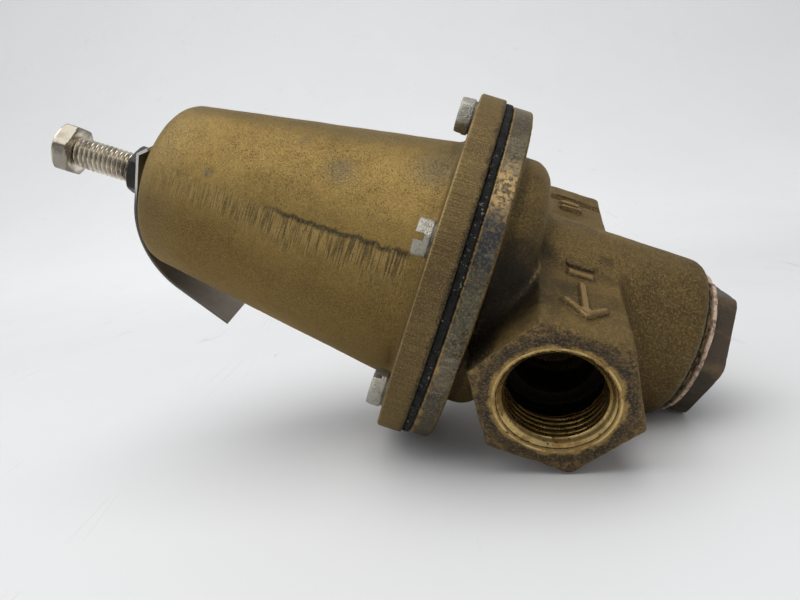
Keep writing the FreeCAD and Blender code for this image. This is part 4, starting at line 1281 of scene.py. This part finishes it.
def coil_mesh(name, low, pitch, first, last):
    """Part of the range spring: a round wire wound from one turn count to another."""
    steps, around = max(2, int((last - first) * 40)), 12
    points, faces = [], []
    for step in range(steps + 1):
        count = first + (last - first) * step / steps
        turn = 2.0 * math.pi * count
        for k in range(around):
            roll = 2.0 * math.pi * k / around
            reach = COIL_RADIUS + COIL_WIRE * math.cos(roll)
            points.append((reach * math.cos(turn), reach * math.sin(turn),
                           low + COIL_WIRE + pitch * count + COIL_WIRE * math.sin(roll)))
    for step in range(steps):
        for k in range(around):
            side = (k + 1) % around
            faces.append((step * around + k, step * around + side,
                          (step + 1) * around + side, (step + 1) * around + k))
    faces.append(tuple(range(around)))
    faces.append(tuple(steps * around + k for k in reversed(range(around))))
    return new_mesh(name, points, faces)


COIL_RADIUS, COIL_WIRE, COIL_TURNS, COIL_SPLIT = 18.0, 2.15, 7.0, 1.25


class VALVE_OT_range_spring(bpy.types.Operator):
    """Range spring between the plate on the diaphragm and the upper seat, made in two pieces"""
    bl_idname = "valve.range_spring"
    bl_label = "Range Spring"

    def execute(self, context):
        low = node_low("range_spring")[2] / MM + 0.05
        high = node_high("range_spring")[2] / MM - 0.05
        pitch = (high - low - 2.0 * COIL_WIRE) / COIL_TURNS
        split = low + pitch * COIL_SPLIT
        for name, first, last, body, replaced in (
                ("range_spring_foot", 0.0, COIL_SPLIT,
                 ("casing", "stem_set", (0.0, 0.0, split * MM), (0.0, 0.0, (low + 4.4) * MM)),
                 ("range_spring",)),
                ("range_spring_coils", COIL_SPLIT, COIL_TURNS,
                 ("casing", "button", (0.0, 0.0, (split + 4.4) * MM),
                  (0.0, 0.0, (high - 4.4) * MM)), ())):
            mesh = coil_mesh(name, low, pitch, first, last)
            smooth_by_angle(mesh, 50.0)
            add_piece(mesh, "spring", body, replaced)
        return {"FINISHED"}


class VALVE_OT_diaphragm(bpy.types.Operator):
    """Rubber diaphragm with an uneven rim squeezed between the flanges"""
    bl_idname = "valve.diaphragm"
    bl_label = "Diaphragm"

    def execute(self, context):
        low, high = CASTING_TOP + 0.02, CAGE_LOW - 0.02
        rim = dense(rounded_path([(34.0, low, 0), (RUBBER_RADIUS, low, 0.5),
                                  (RUBBER_RADIUS, high, 0.5), (34.0, high, 0)]), 0.4)
        rim = [point for point in rim if point[0] > 50.4]
        path = [(WEB_OUTER, low), (46.0, low)] + rim + [(46.0, high), (WEB_OUTER, high)]
        points, faces = turned_grid(path, 420, closed=True)
        radius = from_axis(points)
        outer = radius > 50.9
        bite = 0.9 * lattice_noise(points * (1, 1, 0.6), 1.1, 41) ** 2 \
            + 0.35 * lattice_noise(points, 4.0, 42)
        scale = np.where(outer, 1.0 - bite / radius, 1.0)
        spread(points, scale)
        mesh = new_mesh("diaphragm_rubber", points, faces)
        smooth_by_angle(mesh, 60.0)
        add_piece(mesh, "rubber", "casing", ("diaphragm",))
        centre, centre_faces = turned_grid([(4.1, low), (WEB_INNER, low), (WEB_INNER, high),
                                            (4.1, high)], 120, closed=True)
        mesh = new_mesh("diaphragm_centre", centre, centre_faces)
        smooth_by_angle(mesh, 60.0)
        add_piece(mesh, "rubber", "stem_set")
        # the free web between them, one narrow sector at a time
        for k in range(WEB_SECTORS):
            name = "diaphragm_web_%02d" % k
            turn = 2.0 * math.pi * (k + 0.5) / WEB_SECTORS
            mesh = sector_mesh(name, turn, 2.0 * math.pi / WEB_SECTORS, low, high)
            smooth_by_angle(mesh, 60.0)
            out = Vector((math.cos(turn), math.sin(turn), 0.0)) * MM
            add_piece(mesh, "rubber", ("casing", "stem_set", out * WEB_OUTER, out * (WEB_INNER
                                                                                     + 0.3)))
        return {"FINISHED"}


def screw_mesh(settings):
    """One slotted hexagon-head screw standing on the axis, its slot along X."""
    corner = settings.head_corner / MM
    flange_top = CAGE_FLANGE_TOP
    flat = corner * HEX_FLAT
    head_low = flange_top + 0.7
    head = rounded_path([(0, head_low, 0), (corner - 0.3, head_low, 0),
                         (corner + 0.2, head_low + 0.35, 0), (corner + 0.2, SCREW_TOP - 1.1, 0),
                         (flat + 0.1, SCREW_TOP - 0.12, 0.5), (flat - 1.0, SCREW_TOP, 1.0),
                         (0, SCREW_TOP, 0)])
    head = dense(head, 1.2)
    points, faces = turned_grid(head, 96, corner=corner, softness=0.55)
    dent = 0.10 * lattice_noise(points, 1.2, 51)
    points[:, :2] *= (1.0 - dent / np.maximum(from_axis(points), 1.0))[:, None]
    body = new_mesh("screw", points, faces)
    half = settings.slot_width / MM / 2.0
    cutter = box_mesh("slot", (-corner * 1.4, -half, SCREW_TOP - 2.4),
                      (corner * 1.4, half, SCREW_TOP + 1.0))
    head_mesh = cut_with(body, cutter)
    shank = rounded_path([(0, flange_top - 13.6, 0), (2.6, flange_top - 13.6, 0),
                          (3.15, flange_top - 13.0, 0), (3.15, flange_top - 0.02, 0),
                          (4.6, flange_top + 0.02, 0), (4.6, head_low + 0.05, 0),
                          (0, head_low + 0.05, 0)])
    shank_points, shank_faces = turned_grid(shank, 40)
    shank_mesh = new_mesh("shank", shank_points, shank_faces)
    work = bmesh.new()
    work.from_mesh(head_mesh)
    work.from_mesh(shank_mesh)
    whole = bpy.data.meshes.new("flange_screw")
    work.to_mesh(whole)
    work.free()
    smooth_by_angle(whole, 38.0)
    placed = mesh_points(whole)
    radius = from_axis(placed)
    set_mask(whole, "edge", (radius > flat - 0.2) * 0.8)
    # painted shade under the head
    set_mask(whole, "crevice", (placed[:, 2] < head_low + 0.1) * 0.8)
    return whole


def screw_ring_tree(screw, material):
    """Stands a copy of the screw on each point of a circle, turned by its own amount."""
    tree = bpy.data.node_groups.new("Screw ring", "GeometryNodeTree")
    face = tree.interface
    face.new_socket(name="Geometry", in_out="INPUT", socket_type="NodeSocketGeometry")
    sockets = {}
    for name, kind, default in (("Count", "NodeSocketInt", 6), ("Radius", FLOAT, 0.0455),
                                ("First angle", FLOAT, 0.5236), ("Seed", "NodeSocketInt", 3)):
        socket = face.new_socket(name=name, in_out="INPUT", socket_type=kind)
        socket.default_value = default
        sockets[name] = socket.identifier
    face.new_socket(name="Geometry", in_out="OUTPUT", socket_type="NodeSocketGeometry")
    n = Nodes(tree)
    given = n.outputs(n.make("NodeGroupInput"))
    circle = n.call("GeometryNodeMeshCircle", {
        "Vertices": given["Count"], "Radius": given["Radius"]})
    turned = n.call("GeometryNodeTransform", {
        "Geometry": circle, "Rotation": n.join(0.0, 0.0, given["First angle"])})
    slots = n.make("GeometryNodeIndexSwitch", data_type="FLOAT")
    while len(slots.index_switch_items) < len(SLOT_TURNS):
        slots.index_switch_items.new()
    for socket, turn in zip(slots.inputs[1:], SLOT_TURNS):
        socket.default_value = math.radians(turn)
    n.feed(slots.inputs[0], n.call("GeometryNodeInputIndex"))
    random = n.call("FunctionNodeRandomValue", {2: -0.01, 3: 0.01, "Seed": given["Seed"]}, 1,
                    data_type="FLOAT")
    turn = Value(n, slots.outputs[0]) + random
    place = n.call("GeometryNodeInstanceOnPoints", {
        "Points": turned, "Instance": n.call("GeometryNodeObjectInfo", {
            "Object": screw, "As Instance": True}, "Geometry"),
        "Rotation": n.join(0.0, 0.0, turn)})
    real = n.call("GeometryNodeRealizeInstances", (place,))
    finished = n.call("GeometryNodeSetMaterial", {"Geometry": real, "Material": material})
    n.feed(n.make("NodeGroupOutput").inputs[0], finished)
    return tree, sockets


SLOT_TURNS = (24.0, 110.0, 48.0, 160.0, 95.0, 75.0)


class VALVE_OT_flange_screws(bpy.types.Operator):
    """Ring of slotted hexagon-head screws that clamp the flanges"""
    bl_idname = "valve.flange_screws"
    bl_label = "Flange Screws"

    def execute(self, context):
        settings = context.scene.valve_screws
        single = bpy.data.objects.new("single_screw", screw_mesh(settings))
        context.scene.collection.objects.link(single)
        carrier = bpy.data.objects.new("screw_ring", bpy.data.meshes.new("screw_ring"))
        context.scene.collection.objects.link(carrier)
        tree, sockets = screw_ring_tree(single, finish("zinc"))
        modifier = carrier.modifiers.new("ring", "NODES")
        modifier.node_group = tree
        modifier[sockets["Count"]] = settings.count
        modifier[sockets["Radius"]] = settings.ring_radius
        modifier[sockets["First angle"]] = settings.first_angle
        modifier[sockets["Seed"]] = 3
        mesh = plain_copy(carrier, "flange_screws_slotted")
        bpy.data.objects.remove(carrier)
        bpy.data.objects.remove(single)
        if len(mesh.vertices) == 0:
            raise RuntimeError("the ring of screws came out empty")
        add_piece(mesh, "zinc", "casing", ("flange_screws",))
        return {"FINISHED"}


class VALVE_OT_adjusting_bolt(bpy.types.Operator):
    """Threaded adjusting bolt with a bevelled hexagon head"""
    bl_idname = "valve.adjusting_bolt"
    bl_label = "Adjusting Bolt"

    def execute(self, context):
        settings = context.scene.valve_adjuster
        radius, pitch = settings.thread_radius / MM, settings.thread_pitch / MM
        corner, tall = settings.head_corner / MM, settings.head_height / MM
        head_low = BOLT_TOP - tall
        flat = corner * HEX_FLAT
        shank = dense([(radius - 1.2, BOLT_TIP), (radius, BOLT_TIP + 1.2),
                       (radius, head_low + 0.4)], pitch / 9.0)
        path = [(0, BOLT_TIP)] + shank + [(0, head_low + 0.4)]
        points, faces = turned_grid(path, 60)
        turn = np.arctan2(points[:, 1], points[:, 0])
        reach = from_axis(points)
        phase = (points[:, 2] / pitch - turn / (2.0 * math.pi)) % 1.0
        ridge = np.clip(1.28 * (1.0 - np.abs(phase - 0.5) * 2.0) - 0.14, 0.0, 1.0)
        root = radius - 0.92
        threaded = reach > root
        formed = np.where(threaded, np.minimum(reach, root + 0.92 * ridge), reach)
        scale = formed / np.maximum(reach, 1e-6)
        spread(points, scale)
        head = rounded_path([
            (0, head_low, 0), (flat - 0.2, head_low, 0), (corner - 0.1, head_low + 0.5, 0),
            (corner + 0.2, head_low + 0.8, 0), (corner + 0.2, BOLT_TOP - 1.15, 0),
            (flat + 0.15, BOLT_TOP - 0.15, 0.6), (flat - 0.9, BOLT_TOP, 0.6), (0, BOLT_TOP, 0)])
        phase_turn = math.radians(27.0)
        shells = [(points, faces), turned_grid(dense(head, 1.3), 144, corner=corner,
                                               phase=phase_turn, softness=0.35)]
        mesh = join_shells("adjusting_bolt_threaded", shells)
        smooth_by_angle(mesh, 34.0)
        placed = mesh_points(mesh)
        reach = from_axis(placed)
        # painted shade in the thread roots and on the side faces of the head, darker than its lit
        # top
        on_shank = placed[:, 2] < head_low
        side = (reach > flat - 0.6) & (placed[:, 2] < BOLT_TOP - 0.5)
        set_mask(mesh, "crevice", np.where(on_shank, (radius - reach) / 0.9 * 0.85, side * 0.95))
        set_mask(mesh, "edge", np.where(on_shank, (reach > radius - 0.15) * 0.6,
                                        (reach > flat - 0.1) * 0.6))
        add_piece(mesh, "plated", "bolt", ("adjusting_bolt",))
        return {"FINISHED"}


class VALVE_OT_lock_nut(bpy.types.Operator):
    """Black lock nut with bevelled corners"""
    bl_idname = "valve.lock_nut"
    bl_label = "Lock Nut"

    def execute(self, context):
        corner, low, top = NUT_CORNER, NUT_LOW, NUT_TOP
        flat = corner * HEX_FLAT
        path = dense(rounded_path([
            (5.4, low, 0), (flat - 0.4, low, 0.4), (corner + 0.3, low + 1.0, 0.4),
            (corner + 0.3, top - 1.0, 0.4), (flat - 0.4, top, 0.4), (5.4, top, 0),
            (4.82, top - 0.6, 0), (4.82, low + 0.6, 0), (5.4, low, 0)])[:-1], 1.2)
        shell = turned_grid(path, 144, closed=True, corner=corner, phase=math.radians(39.0),
                            softness=0.45)
        mesh = join_shells("lock_nut_black", [shell])
        smooth_by_angle(mesh, 34.0)
        placed = mesh_points(mesh)
        reach = from_axis(placed)
        set_mask(mesh, "edge", (reach > flat + 0.5) * 0.5)
        add_piece(mesh, "black", "nut", ("lock_nut",))
        return {"FINISHED"}


class VALVE_OT_tag(bpy.types.Operator):
    """Plain bright sheet tag, bent down along the cage"""
    bl_idname = "valve.tag"
    bl_label = "Tag"

    def execute(self, context):
        thick, bend = 0.75, 26.5
        front, back = 10.5, -6.0
        sweep, lip = math.radians(67.3), math.radians(50.0)
        outer = [(front + 4.0 * math.cos(lip), TAG_TOP - 4.0 * math.sin(lip))]
        for k in range(1, 6):
            turn = lip * (1.0 - k / 6.0)
            outer.append((front - 0.2 + 0.9 * math.sin(turn),
                          TAG_TOP - 0.9 * (1.0 - math.cos(turn))))
        outer.append((front - 1.0, TAG_TOP))
        outer.append((back, TAG_TOP))
        for k in range(1, 25):
            turn = sweep * k / 24.0
            outer.append((back - bend * math.sin(turn), TAG_TOP - bend + bend * math.cos(turn)))
        knee = outer[-1]
        outer.append((knee[0] - 19.2 * math.cos(sweep), knee[1] - 19.2 * math.sin(sweep)))
        line = np.array(dense(outer, 1.0))
        along = np.gradient(line, axis=0)
        along /= np.linalg.norm(along, axis=1)[:, None]
        inward = np.stack([-along[:, 1], along[:, 0]], axis=1)
        if inward[len(line) // 3][1] > 0:
            inward = -inward
        columns = np.linspace(-TAG_HALF_WIDTH, TAG_HALF_WIDTH, 25)
        points = [(x, y + dy * offset, z + dz * offset) for offset in (0.0, thick)
                  for (y, z), (dy, dz) in zip(line, inward) for x in columns]
        strip = new_mesh("tag_strip", points, strip_faces(len(line), len(columns)))
        drill_points, drill_faces = turned_grid([(0, TAG_TOP - 3.0), (5.0, TAG_TOP - 3.0),
                                                 (5.0, TAG_TOP + 1.0), (0, TAG_TOP + 1.0)], 64)
        mesh = cut_with(strip, new_mesh("tag_drill", drill_points, drill_faces))
        mesh.name = "data_tag_sheet"
        smooth_by_angle(mesh, 30.0)
        add_piece(mesh, "sheet", "tag", ("data_tag",))
        return {"FINISHED"}


class VALVE_OT_bottom_plug(bpy.types.Operator):
    """Worn hexagonal plug and its fibre gasket"""
    bl_idname = "valve.bottom_plug"
    bl_label = "Bottom Plug"

    def execute(self, context):
        settings = context.scene.valve_plug
        corner, tall = settings.corner / MM, settings.height / MM
        flat = corner * HEX_FLAT
        path = dense(rounded_path([
            (0, 0, 0), (corner + 0.1, 0, 0.5), (corner + 0.3, tall, 0.5),
            (16.97, tall, 0.0), (16.97, 11.6, 0), (16.6, 12.0, 0), (5.5, 12.0, 0.4),
            (5.5, 22.0, 0.4), (3.07, 22.0, 0), (3.07, 8.0, 0), (0, 8.0, 0)]), 0.9)
        points, faces = turned_grid(path, 240, corner=corner, phase=math.radians(13.0),
                                    softness=0.8)
        radius = from_axis(points)
        skin = 0.20 * lattice_noise(points, 3.2, 61) + 0.12 * lattice_noise(points, 1.3, 62)
        outer = radius > 17.2
        scale = np.where(outer, 1.0 - skin / np.maximum(radius, 1.0), 1.0)
        spread(points, scale)
        sink = 0.12 * lattice_noise(points, 2.6, 63)
        points[:, 2] += np.where(points[:, 2] < 0.5, sink * (radius > 19.5), 0.0)
        mesh = new_mesh("bottom_plug_worn", points, faces)
        smooth_by_angle(mesh, 42.0)
        placed = mesh_points(mesh)
        radius = from_axis(placed)
        set_mask(mesh, "edge", (radius - flat) / (corner - flat) * 1.1)
        add_piece(mesh, "plug", "casing", ("bottom_plug",))

        low, high = GASKET_LOW + 0.02, GASKET_TOP - 0.02
        ring = dense(rounded_path([(17.1, low, 0), (GASKET_RADIUS, low, 0.35),
                                   (GASKET_RADIUS, high, 0.35), (17.1, high, 0)]), 0.35)
        points, faces = turned_grid(ring, 300, closed=True)
        radius = from_axis(points)
        bite = 1.0 * lattice_noise(points * (1, 1, 0.5), 3.4, 71) ** 3 \
            + 0.3 * lattice_noise(points, 0.9, 72)
        scale = np.where(radius > 18.6, 1.0 - bite / radius, 1.0)
        spread(points, scale)
        mesh = new_mesh("plug_gasket_worn", points, faces)
        smooth_by_angle(mesh, 60.0)
        add_piece(mesh, "fibre", "casing", ("plug_gasket",))
        return {"FINISHED"}


INNER_FINISHES = {"turned_brass": ("seat_ring", "disc_holder", "stem", "disc_washer",
                                   "stem_washer", "diaphragm_washer", "pressure_plate",
                                   "spring_button", "disc_nut", "stem_nut"), "spring":
                  ("closing_spring",), "disc": ("valve_disc",), "screen": ("strainer_screen",)}


class VALVE_OT_inner_parts(bpy.types.Operator):
    """Finishes of the working parts inside, whose shapes stay as they are"""
    bl_idname = "valve.inner_parts"
    bl_label = "Inner Parts"

    def execute(self, context):
        for name, nodes in INNER_FINISHES.items():
            for node in nodes:
                obj = frame["nodes"][node]
                for index in range(max(1, len(obj.data.materials))):
                    if index < len(obj.material_slots):
                        obj.material_slots[index].material = finish(name)
        return {"FINISHED"}


# ---------------------------------------------------------------- stage

EYE = Vector((0.178158, 0.086025, 0.083880))
EYE_RIGHT = Vector((-0.18386, 0.24538, -0.95183))
EYE_UP = Vector((-0.46357, 0.83224, 0.30410))
EYE_BACK = Vector((0.86678, 0.49715, -0.03926))
FLOOR_NORMAL = Vector((-0.2900, 0.8676, 0.4040)).normalized()
FLOOR_OFFSET = -0.01765


def floor_material(settings):
    """Pale worn table top, open from below so that it hides nothing."""
    material, n, shader = new_material("Table top", 0.0, 0.42)
    place = n.place()
    cloud = n.noise(place, 5.0, 4.0, 0.6)
    colour = n.mix(n.span(cloud, 0.35, 0.65, 0.0, 0.35), tuple(settings.floor),
                   tuple(c * 0.93 for c in settings.floor))
    for scale, turn in ((22.0, 0.4), (31.0, 1.9)):
        bent = n.scaled(place, (scale, scale * 0.05, scale), turn)
        line = n.math("ABSOLUTE", n.noise(bent, 1.0, 2.0, 0.5, 0.6) - 0.5)
        where = n.span(n.noise(place, 14.0, 2.0, 0.5), 0.55, 0.62)
        colour = n.mix(n.span(line, 0.0022, 0.0006) * (where * 0.22), colour, (0.3, 0.3, 0.31))
    set_surface(n, shader, colour, n.span(cloud, 0.3, 0.7, 0.38, 0.5))
    # the far end of the table catches more of the room's light
    shader.inputs["Emission Color"].default_value = (1.0, 0.99, 0.97, 1.0)
    n.feed(shader.inputs["Emission Strength"], n.span(n.axes(place)[1], 0.02, 0.6, 0.0, 0.2))
    choose = n.call("ShaderNodeMixShader", (
        n.call("ShaderNodeNewGeometry", output="Backfacing"), Value(n, shader.outputs[0]),
        n.call("ShaderNodeBsdfTransparent")))
    n.feed(n.tree.nodes["Material Output"].inputs["Surface"], choose)
    return material


class VALVE_OT_stage(bpy.types.Operator):
    """Table top, soft light and camera"""
    bl_idname = "valve.stage"
    bl_label = "Stage"

    def execute(self, context):
        settings = context.scene.valve_stage
        scene = context.scene
        camera_data = bpy.data.cameras.new("camera")
        camera_data.lens = settings.lens
        camera_data.sensor_width = 36.0
        camera_data.clip_start = 0.005
        camera = bpy.data.objects.new("camera", camera_data)
        scene.collection.objects.link(camera)
        turn = Matrix((EYE_RIGHT, EYE_UP, EYE_BACK)).transposed().to_4x4()
        camera.matrix_world = Matrix.Translation(EYE) @ turn
        scene.camera = camera
        scene.view_settings.view_transform = "Standard"

        away = -EYE_BACK
        forward = (away - FLOOR_NORMAL * away.dot(FLOOR_NORMAL)).normalized()
        side = forward.cross(FLOOR_NORMAL).normalized()
        centre = FLOOR_NORMAL * FLOOR_OFFSET + forward * 0.1
        table = Matrix((side, forward, FLOOR_NORMAL)).transposed().to_4x4()
        floor = bpy.data.meshes.new("table_top")
        reach, rise, segments = 1.1, 0.75, 16
        rows = [(-reach, 0.0), (0.35, 0.0)]
        for k in range(1, segments + 1):
            bend = math.pi / 2.0 * k / segments
            rows.append((0.35 + rise * math.sin(bend), rise * (1.0 - math.cos(bend))))
        rows.append((0.35 + rise, rise + 0.9))
        points, faces = [], []
        for y, z in rows:
            points += [(-1.6, y, z), (1.6, y, z)]
        for k in range(len(rows) - 1):
            faces.append((2 * k, 2 * k + 1, 2 * k + 3, 2 * k + 2))
        floor.from_pydata(points, [], faces)
        floor.shade_smooth()
        floor.materials.append(floor_material(settings))
        table_top = bpy.data.objects.new("table_top", floor)
        scene.collection.objects.link(table_top)
        table_top.matrix_world = Matrix.Translation(centre) @ table

        world = bpy.data.worlds.new("soft_room")
        scene.world = world
        world.use_nodes = True
        background = world.node_tree.nodes["Background"]
        background.inputs["Color"].default_value = (0.93, 0.955, 1.0, 1.0)
        background.inputs["Strength"].default_value = 0.46
        aim = Vector((0.0, 0.0, 0.09))
        for name, across, up, back, size, power, colour in (
                ("overhead", -0.10, 0.80, 0.12, 1.0, settings.key_power, (1.0, 0.99, 0.97)),
                ("window", -0.85, 0.55, 0.10, 0.6, settings.key_power * 0.28, (0.94, 0.97, 1.0)),
                ("fill", 0.7, 0.25, 0.55, 0.7, settings.key_power * 0.05, (1.0, 0.97, 0.92))):
            data = bpy.data.lights.new(name, "AREA")
            data.shape = "SQUARE"
            data.size = size
            data.energy = power
            data.color = colour
            light = bpy.data.objects.new(name, data)
            scene.collection.objects.link(light)
            spot = aim + EYE_RIGHT * across + FLOOR_NORMAL * up + EYE_BACK * back
            light.matrix_world = (Matrix.Translation(spot)
                                  @ (spot - aim).to_track_quat("Z", "Y").to_matrix().to_4x4())
        return {"FINISHED"}


OPERATORS = (VALVE_OT_body_casting, VALVE_OT_port_threads, VALVE_OT_spring_cage,
             VALVE_OT_diaphragm, VALVE_OT_range_spring, VALVE_OT_flange_screws,
             VALVE_OT_adjusting_bolt, VALVE_OT_lock_nut, VALVE_OT_tag, VALVE_OT_bottom_plug,
             VALVE_OT_inner_parts, VALVE_OT_stage)


class VALVE_PT_panel(bpy.types.Panel):
    """Buttons that build the valve"""
    bl_idname = "VALVE_PT_panel"
    bl_label = "Pressure Reducing Valve"
    bl_space_type = "VIEW_3D"
    bl_region_type = "UI"
    bl_category = "Valve"

    def draw(self, context):
        column = self.layout.column()
        for operator in OPERATORS:
            column.operator(operator.bl_idname)


def register():
    for name, group in SETTINGS:
        bpy.utils.register_class(group)
        setattr(bpy.types.Scene, name, PointerProperty(type=group))
    for operator in OPERATORS:
        bpy.utils.register_class(operator)
    bpy.utils.register_class(VALVE_PT_panel)


def unregister():
    bpy.utils.unregister_class(VALVE_PT_panel)
    for operator in reversed(OPERATORS):
        bpy.utils.unregister_class(operator)
    for name, group in reversed(SETTINGS):
        delattr(bpy.types.Scene, name)
        bpy.utils.unregister_class(group)


def main():
    register()
    for operator in OPERATORS:
        getattr(bpy.ops.valve, operator.bl_idname.partition(".")[2])()


if __name__ == "__main__":
    main()
